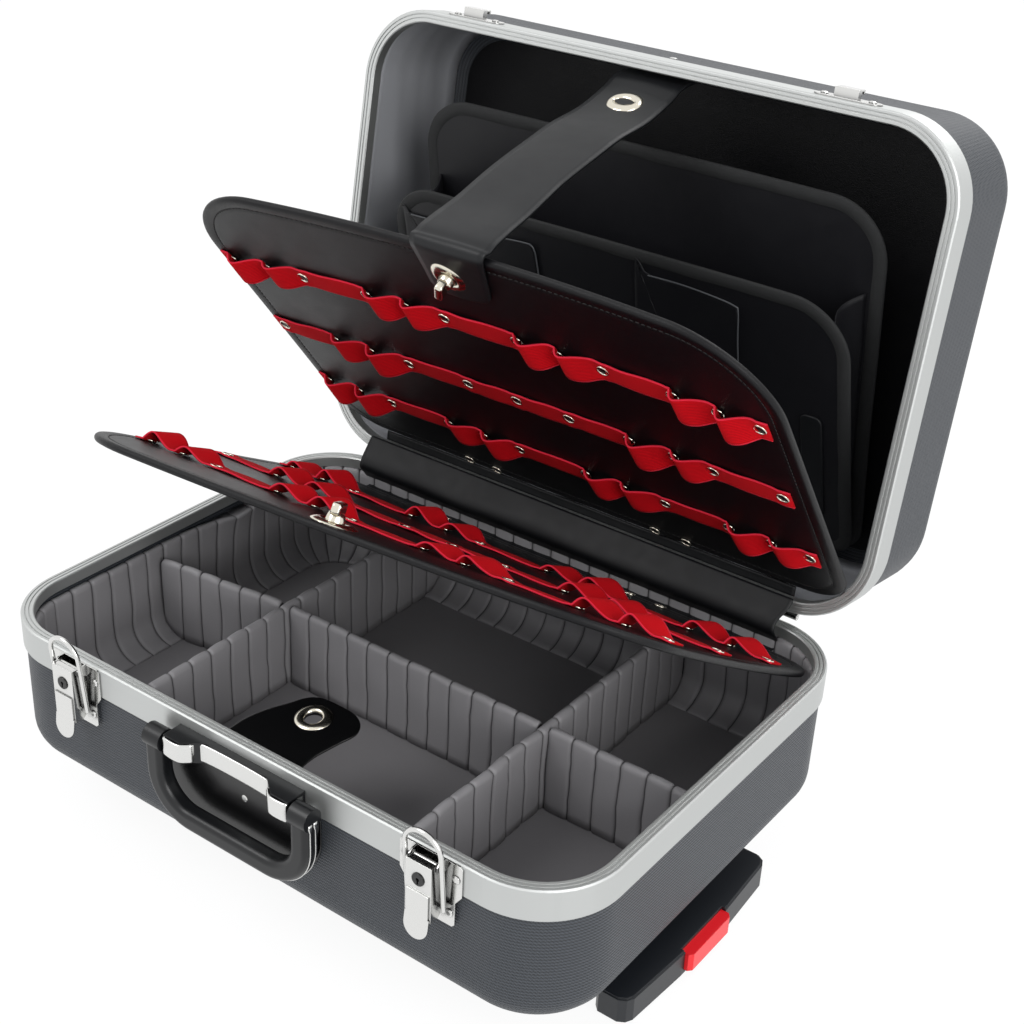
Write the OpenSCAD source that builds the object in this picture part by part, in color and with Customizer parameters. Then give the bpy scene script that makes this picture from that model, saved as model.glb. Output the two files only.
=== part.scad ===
// Hard tool case with telescopic trolley handle, shown open.
// Frame: X along the latch side, +Y towards the hinge, +Z up, origin on the floor under the base.

/* [Case] */
// Length along the latch side
case_l = 510; // [460:5:620]
// Depth from latch side to hinge side
case_d = 364; // [330:4:440]
// Base height from its underside to the rim
base_h = 113; // [100:1:150]
// Lid height from the rim to its top
lid_h = 114; // [104:1:150]
// Outer radius of the four upright corners
corner_r = 59.5; // [50:0.5:75]
// Rounding between walls and flat faces of the shells
edge_r = 24; // [16:1:30]
// Shell wall thickness
wall = 3; // [2:0.5:4]
// Clearance under the base shell, taken by the trolley frame
trolley_h = 47; // [44:1:60]

/* [Rim frames] */
// Height of the metal band round each rim
band_h = 23; // [18:1:30]
// Thickness of the band
band_t = 1.9; // [1.5:0.1:2.5]
// Width of the rim face
rim_w = 9.3; // [8:0.1:12]
// Height of the frame's inner lip
lip_h = 9; // [6:1:12]

/* [Lid hinge] */
// Angle of the open lid from closed
lid_open = 99.5; // [92:0.5:108]
// Pin behind the back face of the frame
hinge_back = 3; // [2.9:0.1:4]
// Pin above the rim
hinge_up = 4.8; // [4.5:0.1:6]
// Radius of the hinge knuckles
knuckle_r = 2.7; // [2.4:0.1:2.8]
// Radius of the hinge pin
hinge_pin_r = 1.3; // [1:0.1:1.6]
// Length of the hinge
hinge_l = 410; // [300:10:420]

/* [Tool boards] */
// Board width along the case
board_w = 478; // [430:1:481]
// Board height from hinge edge to free edge
board_d = 319; // [290:1:326]
// Board thickness
board_t = 4; // [3:0.5:5]
// Radius of the board corners
board_r = 70; // [30:1:90]
// Angle of the lid board from the lid's rim plane
upper_tilt = 46.3; // [38:0.5:48]
// Angle of the base board above the rim plane
lower_tilt = 29; // [20:1:34]
// Height of a row of elastic loops over the board
band_lift = 7; // [5:0.5:8]
// Width of the elastic
elastic_w = 19; // [15:1:24]

/* [Document wallets] */
// Angle of the front wallet from the lid's rim plane
wallet_front_tilt = 27; // [18:1:30]
// Angle of the rear wallet from the lid's rim plane
wallet_rear_tilt = 17; // [8:1:17]
// Wallet panel width
wallet_w = 404; // [340:2:420]
// Wallet panel thickness
wallet_t = 3; // [2:0.5:4]

/* [Inside the base] */
// Floor mat surface below the rim
floor_down = 90; // [80:1:94]
// Top of the dividers below the rim
divider_down = 22; // [22:1:40]
// Divider thickness
divider_t = 8; // [6:1:12]
// Distance between the two long dividers
divider_gap = 240; // [200:5:280]
// Cross dividers' distance behind the middle of the case
divider_back = -12; // [-40:1:40]
// Skew of the left cross divider
divider_skew = 7; // [0:1:10]
// Padded liner thickness
liner_t = 5.5; // [4:0.5:7]
// Rounding of the liner into the floor
liner_cove = 22; // [15:1:26]

/* [Latches] */
// Distance of each latch from the middle
latch_x = 158; // [130:1:170]
// Lever width
lever_w = 20; // [18:1:24]
// Bail wire radius
bail_r = 1.7; // [1.2:0.05:1.8]
// Bail height from its pivot to its top
bail_h = 56; // [55:1:60]

/* [Carrying handle] */
// Handle width
handle_w = 145; // [135:1:165]
// Handle drop from its pivot to its lowest edge
handle_drop = 61; // [58:1:70]
// Thickness of the grip
grip_t = 15; // [14:1:18]

/* [Trolley] */
// Distance between the two telescopic tubes
tube_gap = 124; // [110:2:150]
// Outer radius of the fixed tubes
tube_r = 9; // [8:0.5:9]
// Wall thickness of every tube
tube_wall = 1.2; // [1:0.1:1.5]
// Width of the pull grip
pull_w = 184; // [160:2:190]
// Wheel radius
wheel_r = 22; // [18:1:22]
// Wheel width
wheel_t = 22; // [16:1:26]
// Distance between the wheels
wheel_gap = 190; // [180:5:220]

/* [Hidden] */
$fn = 48;
fit = 0.05;                 // running clearance of pins and shafts, on the radius
gap = 0.3;                  // clearance between faces of different bodies
seat = 0.1;                 // gap between pieces fixed to each other
rim_z = base_h + trolley_h;
half_l = case_l / 2;
half_d = case_d / 2;
shell_in = band_t + seat;   // shell's outer face behind the band's face
hinge_y = half_d + hinge_back;
hinge_z = rim_z + hinge_up;

// boards
board_hinge_y = half_d - 19;     // closed place of both boards' hinge edge
lower_mid = -19.5;               // base board's middle plane, from the rim
upper_mid = 11;                  // lid board's middle plane, from the rim
upper_shift = 4;                 // lid board's place right of the middle
row_v = [66, 149, 236];          // elastic rows, from the hinge edge
row_l = 462;
side_rivets = [-224, -191, -157, -98, -63, -29, 33, 67, 103, 157, 191, 222];
mid_rivets = [-224, -172, -137, -100, -44, 0, 46, 97, 133, 165, 219];
lock_v = 293;                    // turn lock from the hinge edge
strip_w = 396;

// liner
liner_out = shell_in + wall + gap;
liner_in = liner_out + liner_t;
liner_down = 14;
floor_t = 3;
mat_t = 3;

// latch
pin_y = -6;
pin_z = -4;
anchor_y = -5.5;
anchor_z = -36;
lever_front = -13;
lever_sheet = 1.2;
ear_x = lever_w / 2 + gap;
bail_x = lever_w / 2 + 2.2 + bail_r;
bail_lean = 5;
tongue_lean = 8;
barrel_z = -14.5;
barrel_r = 4.5;

// handle
handle_y = -12;
handle_z = -16;
handle_pin_r = 3;
grip_d = 13.5;
grip_bend = 30;
arm_x = handle_w / 2 - grip_t / 2;

// trolley
tube_z = 12.5;
tube_y = tube_gap / 2;
tube_start = -half_l + 60;
tube_end = half_l - 50;
stage_r = tube_r - tube_wall - gap;
inner_r = stage_r - tube_wall - gap;
pull_x0 = half_l - 31;
pull_x1 = half_l - 1;
pull_z0 = 3;
pull_z1 = 23;
button_w = 53;
spring_z = 13.5;
axle_x = -half_l + 21;
axle_r = 4;

// ---- helpers ----

// Rounded rectangle centred on the origin
module rrect(l, d, r) {
    square([l - 2 * r, d], center = true);
    square([l, d - 2 * r], center = true);
    for (x = [-1, 1], y = [-1, 1])
        translate([x * (l / 2 - r), y * (d / 2 - r)]) circle(r, $fn = 64);
}

// Carries a profile, drawn as (radius, height), round a rounded rectangle
module loop(l, d, r) {
    for (k = [0 : 3]) {
        a = k % 2 == 0 ? l : d;
        b = k % 2 == 0 ? d : l;
        rotate([0, 0, 90 * k]) translate([a / 2 - r, b / 2 - r, 0]) {
            rotate_extrude(angle = 90, $fn = 96) children();
            rotate([90, 0, 0]) linear_extrude(b - 2 * r) children();
        }
    }
}

// Tub with a rounded lower edge, standing on z = 0
module tub(l, d, h, r, er) {
    loop(l, d, r) tub_profile(r, h, er);
    translate([-(l / 2 - r), -(d / 2 - r), 0]) cube([l - 2 * r, d - 2 * r, h]);
}

module tub_profile(r, h, er) {
    translate([0, er]) square([r, h - er]);
    square([r - er, er + 1]);
    translate([r - er, er]) circle(er, $fn = 96);
}

// Plate with rounded corners, r at the free edge and b at the hinge edge, which lies on y = 0
module board_plate(w, d, t, r, b) {
    translate([0, 0, -t / 2]) linear_extrude(t) {
        translate([0, -d / 2]) rrect(w, d, r);
        translate([-w / 2, -2 * r]) square([w, 2 * r - b]);
        translate([-w / 2 + b, -r]) square([w - 2 * b, r]);
        for (x = [-1, 1]) translate([x * (w / 2 - b), -b]) circle(b, $fn = 64);
    }
}

// Places children drawn with z = 0 at the rim and y = 0 on the case's middle
module in_base() {
    translate([0, 0, rim_z]) children();
}

// The same for the lid, drawn closed and swung open about the hinge pin
module in_lid() {
    translate([0, hinge_y, hinge_z]) rotate([-lid_open, 0, 0])
        translate([0, -hinge_y, -hinge_up]) children();
}

// A panel hinged along its back edge, drawn from y = 0 to -y, tilted by a
module hinged(y, z, a) {
    translate([0, y, z]) rotate([a, 0, 0]) children();
}

module in_upper_board() {
    in_lid() hinged(board_hinge_y, upper_mid, upper_tilt) children();
}

module in_lower_board() {
    in_base() hinged(board_hinge_y, lower_mid, -lower_tilt) children();
}

module at_latch(side) {
    translate([side * latch_x, -half_d, 0]) children();
}

// Domed rivet head, standing on z = 0
module rivet(r, h) {
    cylinder(r = r, h = h / 2);
    translate([0, 0, h / 2]) cylinder(r1 = r, r2 = r * 0.6, h = h / 2);
}

// Rivet standing out of a face that looks towards -Y
module front_rivet(r, h) {
    rotate([90, 0, 0]) rivet(r, h);
}

// ---- shells and frames ----

module shell(h) {
    difference() {
        tub(case_l - 2 * shell_in, case_d - 2 * shell_in, h, corner_r - shell_in, edge_r);
        translate([0, 0, wall])
            tub(case_l - 2 * (shell_in + wall), case_d - 2 * (shell_in + wall), h + 1,
                corner_r - shell_in - wall, edge_r - wall);
    }
}

module base_shell() {
    color("dimgray") translate([0, 0, trolley_h]) difference() {
        shell(base_h - 2.6);
        translate([0, -half_d, base_h - 43]) rotate([90, 0, 0])
            cylinder(r = 1.6 + fit, h = 20, center = true);
    }
}

module lid_shell() {
    color("dimgray") in_lid() difference() {
        translate([0, 0, lid_h]) mirror([0, 0, 1]) shell(lid_h - gap - 2.6);
        translate([0, -half_d, 43]) rotate([90, 0, 0])
            cylinder(r = 1.6 + fit, h = 20, center = true);
    }
}

// Rim profile with the band outside and a lip inside, rim face on y = 0
module rim_profile() {
    r = corner_r;
    difference() {
        polygon([
            [r, -band_h], [r, -1], [r - 1, 0], [r - rim_w + 0.8, 0], [r - rim_w, -0.8],
            [r - rim_w, -lip_h], [r - rim_w + 1.5, -lip_h], [r - rim_w + 1.5, -2.5],
            [r - band_t, -2.5], [r - band_t, -band_h]
        ]);
        translate([r - 3.6, -0.8]) square([0.9, 1]);
        translate([r - 6.4, -0.8]) square([0.9, 1]);
    }
}

module rim_frame() {
    loop(case_l, case_d, corner_r) rim_profile();
}

module base_frame() {
    color("silver") in_base() rim_frame();
}

module lid_frame() {
    color("silver") in_lid() translate([0, 0, gap]) mirror([0, 0, 1]) rim_frame();
}

// ---- inside the base ----

module base_wall_liner() {
    r = corner_r - liner_out;
    h = floor_down - liner_down;
    color("gray") in_base() translate([0, 0, -floor_down])
        loop(case_l - 2 * liner_out, case_d - 2 * liner_out, r) difference() {
            union() {
                translate([r - liner_t, 0]) square([liner_t, h]);
                translate([r - liner_t - liner_cove, 0]) square([liner_cove, liner_cove]);
            }
            translate([r - liner_t - liner_cove, liner_cove]) circle(liner_cove, $fn = 96);
        }
}

// Hardboard floor on battens that clear the trolley screws
module raised_floor() {
    top = -floor_down - mat_t - seat;
    inset = shell_in + wall + 3;
    batten_h = base_h - floor_down - mat_t - floor_t - wall - 2 * seat;
    color("saddlebrown") in_base() {
        translate([0, 0, top - floor_t])
            linear_extrude(floor_t)
                rrect(case_l - 2 * inset, case_d - 2 * inset, corner_r - inset);
        for (y = [-90, 0, 90])
            translate([-180, y - 15, top - floor_t - batten_h]) cube([360, 30, batten_h]);
    }
}

module floor_mat() {
    inset = shell_in + wall + 3;
    color("gray") in_base() translate([0, 0, -floor_down - mat_t - seat / 2])
        linear_extrude(mat_t)
            rrect(case_l - 2 * inset, case_d - 2 * inset, corner_r - inset);
}

// Outline of the space inside the liner, seen along a divider
module divider_outline(w) {
    h = floor_down - divider_down - gap;
    c = liner_cove;
    translate([-w / 2, c]) square([w, h - c]);
    translate([-w / 2 + c, 0]) square([w - 2 * c, c + 1]);
    for (x = [-1, 1]) translate([x * (w / 2 - c), c]) circle(c, $fn = 96);
}

module long_dividers() {
    w = case_d - 2 * liner_in - 2 * gap;
    color("gray") in_base()
        for (x = [-1, 1])
            translate([x * divider_gap / 2 - divider_t / 2, 0, gap - floor_down])
                rotate([90, 0, 90]) linear_extrude(divider_t) divider_outline(w);
}

module cross_dividers() {
    h = floor_down - divider_down - gap;
    side_l = half_l - liner_in - divider_gap / 2 - divider_t / 2 - 2 * gap;
    mid_l = divider_gap - divider_t - 2 * gap;
    x0 = divider_gap / 2 + divider_t / 2 + gap;
    color("gray") in_base() translate([0, divider_back, gap - floor_down]) {
        translate([-mid_l / 2, -divider_t / 2, 0]) cube([mid_l, divider_t, h]);
        translate([x0, 0, 0]) side_divider(side_l, h);
        translate([-x0, 0, 0]) rotate([0, 0, divider_skew]) translate([-1.2, 0, 0])
            mirror([1, 0, 0]) side_divider(side_l - 3.2, h);
    }
}

// Divider from a long divider to the end wall, its lower corner rounded
module side_divider(l, h) {
    c = liner_cove;
    rotate([90, 0, 0]) translate([0, 0, -divider_t / 2]) linear_extrude(divider_t) {
        square([l - c, h]);
        translate([0, c]) square([l, h - c]);
        translate([l - c, c]) circle(c, $fn = 96);
    }
}

// ---- latches ----

module latch_plates() {
    color("silver") in_base() for (s = [-1, 1]) at_latch(s) difference() {
        union() {
            translate([0, -seat, 0]) rotate([90, 0, 0]) linear_extrude(1.1)
                polygon([
                    [-24, -3], [-22, -1], [22, -1], [24, -3], [24, -24], [19, -31],
                    [19, -48], [17, -50], [-17, -50], [-19, -48], [-19, -31], [-24, -24]
                ]);
            for (x = [-1, 1]) translate([x * (ear_x + 0.5), 0, 0])
                rotate([0, 90, 0]) translate([0, 0, -0.5]) linear_extrude(1)
                    polygon([[0.6, -1], [0.6, -6], [3, -9], [6.5, -9], [10, -1]]);
        }
        translate([0, pin_y, pin_z]) rotate([0, 90, 0])
            cylinder(r = 1.5, h = lever_w + 10, center = true);
        for (x = [-1, 1], z = [-12, -40]) translate([x * (z == -12 ? 19.5 : 15), 0, z])
            rotate([90, 0, 0]) cylinder(r = 1.5, h = 4, center = true);
    }
}

// Pivot pins of the two levers and of the carrying handle
module pivot_pins() {
    color("silver") in_base() {
        for (s = [-1, 1]) at_latch(s) translate([0, pin_y, pin_z]) rotate([0, 90, 0])
            cylinder(r = 1.5, h = 2 * ear_x + 2, center = true);
        for (s = [-1, 1]) translate([s * (arm_x - 5.5), -half_d + handle_y, handle_z])
            rotate([0, 90, 0]) cylinder(r = handle_pin_r, h = 20, center = true);
    }
}

module base_rivets() {
    color("silver") in_base() {
        for (s = [-1, 1], x = [-1, 1], z = [-12, -40]) at_latch(s)
            translate([x * (z == -12 ? 19.5 : 15), -1.1 - seat, z]) {
                front_rivet(2.8, 1.2);
                rotate([-90, 0, 0]) cylinder(r = 1.45, h = 1);
            }
        translate([0, -half_d + shell_in, -43]) {
            front_rivet(3, 1.2);
            rotate([-90, 0, 0]) cylinder(r = 1.6, h = wall);
        }
    }
}

// Lever of folded sheet with a round thumb tongue, standing against its plate
module latch_lever(s) {
    w = lever_w / 2;
    color("silver") in_base() at_latch(s) difference() {
        union() {
            translate([-w, lever_front, -44]) cube([lever_w, lever_sheet, 42]);
            for (x = [-w, w - lever_sheet]) translate([x, 0, 0]) rotate([90, 0, 90])
                linear_extrude(lever_sheet)
                    polygon([
                        [lever_front, -44], [lever_front, -2], [pin_y + 1, -2],
                        [pin_y + 2.2, -5], [-2.4, -10], [-2.4, -40], [-6, -44]
                    ]);
            translate([-8.5, lever_front - 1, -44]) cube([17, 1.5, 20]);
            translate([0, lever_front + 0.2, -42.5]) rotate([90 - tongue_lean, 0, 0])
                linear_extrude(lever_sheet) {
                    translate([-9.3, -6.7]) square([18.6, 7.2]);
                    translate([0, -6.7]) circle(9.3);
                }
            translate([-w + 0.5, lever_front, -3.4]) cube([lever_w - 1, 5, 1.2]);
        }
        translate([0, pin_y, pin_z]) rotate([0, 90, 0])
            cylinder(r = 1.5 + fit, h = lever_w + 10, center = true);
        translate([0, anchor_y, anchor_z]) rotate([0, 90, 0])
            cylinder(r = bail_r + fit, h = lever_w + 10, center = true);
        translate([0, lever_front, barrel_z]) rotate([90, 0, 0])
            cylinder(r = barrel_r + fit, h = 8, center = true);
    }
}

// Wire loop hooked into the lever, leaning a little outwards
module latch_bail(s) {
    rise = bail_h - bail_x;
    color("silver") in_base() at_latch(s) translate([0, anchor_y, anchor_z])
        rotate([bail_lean, 0, 0]) {
            for (x = [-1, 1]) translate([x * bail_x, 0, 0]) {
                cylinder(r = bail_r, h = rise);
                sphere(r = bail_r);
                rotate([0, -90 * x, 0]) cylinder(r = bail_r, h = bail_x - lever_w / 2 + 1.1);
            }
            translate([0, 0, rise]) rotate([90, 0, 0])
                rotate_extrude(angle = 180) translate([bail_x, 0]) circle(bail_r, $fn = 24);
        }
}

// Key barrel with its slot, turning in the lever
module lock_barrel(s) {
    color("silver") in_base() at_latch(s) translate([0, lever_front - 0.8, barrel_z])
        rotate([-90, 0, 0]) difference() {
            cylinder(r = barrel_r, h = 7);
            translate([0, 0, -1]) cylinder(r = 1.3, h = 4);
            translate([-0.6, 0, -1]) cube([1.2, 3.4, 4]);
        }
}

module lid_catches() {
    color("silver") in_lid() for (s = [-1, 1]) at_latch(s) difference() {
        union() {
            translate([0, -seat, 0]) rotate([90, 0, 0]) linear_extrude(1.1) {
                translate([-18, 2.2]) square([36, 14]);
                for (x = [-1, 1]) translate([x * 18, 9.2]) circle(7);
            }
            translate([-9, -8, 4.4]) cube([18, 7.2, 1.2]);
            translate([-9, -8, 4.4]) cube([18, 1.2, 9.8]);
            translate([-9, -8, 13]) cube([18, 3, 1.2]);
            for (x = [-9, 7.8]) translate([x, -8, 4.4]) cube([1.2, 7.2, 5]);
        }
        for (x = [-1, 1]) translate([x * 18, 0, 9.2]) rotate([90, 0, 0])
            cylinder(r = 1.5, h = 4, center = true);
    }
}

module lid_rivets() {
    color("silver") in_lid() {
        for (s = [-1, 1], x = [-1, 1]) at_latch(s) translate([x * 18, -1.1 - seat, 9.2]) {
            front_rivet(2.8, 1.2);
            rotate([-90, 0, 0]) cylinder(r = 1.45, h = 1);
        }
        translate([0, -half_d + shell_in, 43]) {
            front_rivet(3, 1.2);
            rotate([-90, 0, 0]) cylinder(r = 1.6, h = wall);
        }
    }
}

// ---- carrying handle ----

// Plan of the bracket's front: two end blocks and a recessed middle
function bracket_line(y_end, y_mid) = [
    [-arm_x + 9.5, y_end], [-arm_x + 24, y_end], [-arm_x + 38, y_mid],
    [arm_x - 38, y_mid], [arm_x - 24, y_end], [arm_x - 9.5, y_end]
];

module handle_bracket() {
    color("black") in_base() translate([0, -half_d, 0]) difference() {
        translate([0, 0, handle_z - 8]) linear_extrude(16)
            polygon(concat([[arm_x - 9.5, -seat], [-arm_x + 9.5, -seat]],
                bracket_line(-16, -5)));
        for (s = [-1, 1]) translate([s * (arm_x - 5.5), handle_y, handle_z])
            rotate([0, 90, 0]) cylinder(r = handle_pin_r, h = 20, center = true);
    }
}

module handle_bracket_trim() {
    front = bracket_line(-18, -7);
    back = bracket_line(-16.1, -5.1);
    color("silver") in_base() translate([0, -half_d, handle_z - 7]) linear_extrude(14)
        polygon(concat(front, [for (i = [5 : -1 : 0]) back[i]]));
}

// Section of the grip, rounded on all corners
module grip_section() {
    r = 4.5;
    square([grip_t, grip_d - 2 * r], center = true);
    square([grip_t - 2 * r, grip_d], center = true);
    for (x = [-1, 1], y = [-1, 1])
        translate([x * (grip_t / 2 - r), y * (grip_d / 2 - r)]) circle(r, $fn = 32);
}

module carry_handle() {
    low = grip_t / 2 - handle_drop;
    color("black") in_base() translate([0, -half_d + handle_y, handle_z]) difference() {
        union() {
            for (s = [-1, 1]) {
                translate([s * arm_x, 0, low + grip_bend]) linear_extrude(-low - grip_bend) grip_section();
                translate([s * arm_x - grip_t / 2, 0, 0]) rotate([0, 90, 0])
                    cylinder(r = 8, h = grip_t);
            }
            for (s = [-1, 1]) translate([s * (arm_x - grip_bend), 0, low + grip_bend])
                rotate([90, 0, 0]) rotate([0, 0, s > 0 ? -90 : 180])
                    rotate_extrude(angle = 90) translate([grip_bend, 0]) grip_section();
            translate([-(arm_x - grip_bend), 0, low]) rotate([0, 90, 0])
                linear_extrude(2 * (arm_x - grip_bend)) grip_section();
        }
        for (s = [-1, 1]) translate([s * (arm_x - 5.5), 0, 0]) rotate([0, 90, 0])
            cylinder(r = handle_pin_r + fit, h = 21, center = true);
    }
}

// ---- hinge ----

module hinge_knuckles(first) {
    n = 12;
    step = hinge_l / n;
    for (i = [first : 2 : n - 1])
        translate([-hinge_l / 2 + i * step + gap / 2, hinge_y, hinge_up]) rotate([0, 90, 0])
            difference() {
                cylinder(r = knuckle_r, h = step - gap);
                translate([0, 0, -1]) cylinder(r = hinge_pin_r + fit, h = step + 2);
            }
}

// Tabs that join the leaf on the band to its knuckles
module hinge_tabs(first, z0, z1) {
    n = 12;
    step = hinge_l / n;
    for (i = [first : 2 : n - 1])
        translate([-hinge_l / 2 + i * step + gap / 2, half_d + seat, z0])
            cube([step - gap, 1, z1 - z0]);
}

module leaf_cut() {
    translate([-hinge_l / 2 - 1, hinge_y, hinge_up]) rotate([0, 90, 0])
        cylinder(r = hinge_pin_r + fit, h = hinge_l + 2);
}

module hinge_base_leaf() {
    color("silver") in_base() {
        hinge_knuckles(0);
        difference() {
            union() {
                hinge_tabs(0, -13, hinge_up);
                translate([-hinge_l / 2, half_d + seat, -14]) cube([hinge_l, 1, 12]);
            }
            leaf_cut();
        }
    }
}

module hinge_lid_leaf() {
    color("silver") in_lid() {
        hinge_knuckles(1);
        difference() {
            union() {
                hinge_tabs(1, hinge_up, 20);
                translate([-hinge_l / 2, half_d + seat, hinge_up + 4]) cube([hinge_l, 1, 12]);
            }
            leaf_cut();
        }
    }
}

module hinge_pin() {
    color("silver") in_base() translate([-hinge_l / 2, hinge_y, hinge_up])
        rotate([0, 90, 0]) cylinder(r = hinge_pin_r, h = hinge_l);
}

// Cloth cover inside the hinge, from the base rim up to the lid rim
module hinge_cover() {
    y0 = half_d - rim_w - 0.4;
    color("black") in_base() translate([-200, 0, 0]) rotate([90, 0, 90]) linear_extrude(400)
        polygon([
            [y0 - 1.2, -11], [y0 - 1.2, 2], [hinge_y - 7.4, 14], [hinge_y - 5.4, 22],
            [hinge_y - 4.2, 22], [hinge_y - 6.2, 13.4], [y0, 1.4], [y0, -11]
        ]);
}

// ---- boards ----

module board() {
    board_plate(board_w, board_d, board_t, board_r, 40);
}

// One row of elastic as a slab standing on the board's working face
module elastic_rows() {
    for (v = row_v)
        translate([-row_l / 2, -v - elastic_w / 2, board_t / 2 + seat])
            cube([row_l, elastic_w, band_lift - seat]);
}

module band_rivets() {
    for (v = row_v, x = v == row_v[1] ? mid_rivets : side_rivets)
        translate([x, -v, board_t / 2 + band_lift + 0.05]) rivet(3, 0.9);
    for (x = [-104, -76, 76, 104])
        translate([x, -6, board_t / 2 + 0.05]) rivet(3, 0.9);
}

// Oval plate of the turn lock, with the seat of its knob
module lock_plate() {
    translate([0, -lock_v, board_t / 2 + 0.05]) difference() {
        union() {
            oval(15, 9, 1.6);
            cylinder(r = 5.2, h = 4);
        }
        translate([0, 0, -1]) cylinder(r = 2.5 + fit, h = 8);
    }
}

// Oval made of two circles and the straight run between them
module oval(a, b, h) {
    linear_extrude(h) {
        for (x = [-1, 1]) translate([x * (a - b), 0]) circle(b);
        square([2 * (a - b), 2 * b], center = true);
    }
}

module turn_knob() {
    translate([0, -lock_v, board_t / 2 + 0.2]) {
        cylinder(r = 2.5, h = 5);
        translate([0, 0, 4.2]) cylinder(r1 = 4.2, r2 = 3.2, h = 3);
        translate([-6, -1.8, 6.8]) cube([12, 3.6, 3.2]);
        translate([0, 0, 6.8]) cylinder(r = 3, h = 3.2);
    }
}

// The lid board works on its lower face, so its fittings are turned over
module under() {
    mirror([0, 0, 1]) children();
}

module upper_board() {
    color("black") in_upper_board() translate([upper_shift, 0, 0]) board();
}

module upper_elastic_bands() {
    color("red") in_upper_board() under() elastic_rows();
}

module upper_band_rivets() {
    color("silver") in_upper_board() under() band_rivets();
}

module upper_lock_plate() {
    color("silver") in_upper_board() under() lock_plate();
}

module upper_turn_knob() {
    color("silver") in_upper_board() under() turn_knob();
}

module lower_board() {
    color("black") in_lower_board() board();
}

module lower_elastic_bands() {
    color("red") in_lower_board() elastic_rows();
}

module lower_band_rivets() {
    color("silver") in_lower_board() band_rivets();
}

module lower_lock_plate() {
    color("silver") in_lower_board() lock_plate();
}

module lower_turn_knob() {
    color("silver") in_lower_board() turn_knob();
}

// Flexible strips that carry the boards' hinge edges
module lower_board_strip() {
    y0 = board_hinge_y + board_t / 2 + gap;
    color("black") in_base()
        translate([-strip_w / 2, y0, lower_mid - 1])
            cube([strip_w, half_d - liner_in - gap - y0, 2]);
}

module upper_board_strip() {
    y0 = board_hinge_y + board_t / 2 + gap;
    color("black") in_lid()
        translate([-strip_w / 2, y0, upper_mid - 1])
            cube([strip_w, half_d - shell_in - wall - 2.6 - gap - y0, 2]);
}

// ---- lid lining and wallets ----

module lid_side_lining() {
    out = shell_in + wall + seat;
    r = corner_r - out;
    color("gray") in_lid() translate([0, 0, lip_h + 1])
        loop(case_l - 2 * out, case_d - 2 * out, r)
            translate([r - 2.2, 0]) square([2.2, lid_h - edge_r - lip_h - 1]);
}

module lid_back_panel() {
    inset = shell_in + edge_r - 3;
    color("black") in_lid() translate([0, 0, lid_h - wall - 2.6])
        linear_extrude(2) rrect(case_l - 2 * inset, case_d - 2 * inset, corner_r - inset);
}

module wallet_rear() {
    color("black") in_lid() hinged(half_d - 24, lid_h - 14, wallet_rear_tilt)
        board_plate(wallet_w, 288, wallet_t, 45, 20);
}

module wallet_front() {
    color("black") in_lid() hinged(half_d - 24, lid_h - 26, wallet_front_tilt)
        board_plate(wallet_w, 233, wallet_t, 45, 20);
}

// Folded cloth sides between the two wallets
module wallet_gussets() {
    rear = [for (s = [60, 236]) [-s * cos(wallet_rear_tilt), -s * sin(wallet_rear_tilt)]];
    front = [for (s = [60, 206]) [-s * cos(wallet_front_tilt), -s * sin(wallet_front_tilt) - 12]];
    color("black") in_lid() translate([0, half_d - 24, lid_h - 14])
        for (x = [-1, 1]) translate([x * (wallet_w / 2 - 6) - 0.5, 0, 0]) rotate([90, 0, 90])
            linear_extrude(1)
                polygon([
                    rear[0] - [0, 2.2], rear[1] - [0, 2.2],
                    front[1] + [0, 2.2], front[0] + [0, 2.2]
                ]);
}

// ---- straps ----

// Strap from the lid's front wall to the free edge of the lid board, drawn in the open pose
module board_strap() {
    p = strap_line();
    color("black") translate([-24, 0, 0]) rotate([90, 0, 90]) linear_extrude(58)
        polygon(concat(p, [for (i = [len(p) - 1 : -1 : 0]) p[i] + [0.3, 1.9]]));
}

// Turns a closed-lid point (y, z from the rim) into the open pose
function opened(y, z) = [
    hinge_y + (y - hinge_y) * cos(lid_open) + (z - hinge_up) * sin(lid_open),
    hinge_z - (y - hinge_y) * sin(lid_open) + (z - hinge_up) * cos(lid_open)
];

function board_point(v, n) = let (a = 180 - upper_tilt) opened(
    board_hinge_y + v * cos(a) - n * sin(upper_tilt),
    upper_mid - v * sin(a) + n * cos(upper_tilt)
);

function strap_line() = let (
    a = opened(-half_d + 9.7, 30),
    b = board_point(board_d - 2, board_t / 2 + 0.5),
    n = 10
) [for (i = [0 : n]) let (t = i / n)
    a * (1 - t) + b * t + [0, -52 * t * (1 - t)]];

module strap_eyelet() {
    p = strap_line();
    q = p[3];
    d = p[4] - p[2];
    color("silver") translate([5, q[0], q[1]])
        rotate([atan2(d[1], d[0]) - 180, 0, 0]) translate([0, 0, 2.4]) difference() {
            cylinder(r = 13, h = 1.2);
            translate([0, 0, -1]) oval(8, 3.5, 4);
        }
}

// Leather flap on the front wall that buttons over the base board
module in_flap() {
    in_base() hinged(-half_d + liner_in + 0.4, -23, 8) children();
}

module closure_flap() {
    color("black") in_flap() difference() {
        translate([0, 0, -1]) linear_extrude(2) {
            polygon([[-36, 0.5], [32, 0.5], [34, 62], [-22, 62]]);
            translate([-8, 61]) square([28, 15]);
            for (x = [-8, 20]) translate([x, 62]) circle(14);
        }
        translate([0, 57, -2]) cylinder(r = 6.5, h = 4);
    }
}

module flap_eyelet() {
    color("silver") in_flap() translate([0, 57, 1.1]) difference() {
        cylinder(r = 13.5, h = 1.2);
        translate([0, 0, -1]) cylinder(r = 6.5, h = 4);
    }
}

// ---- trolley ----

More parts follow.
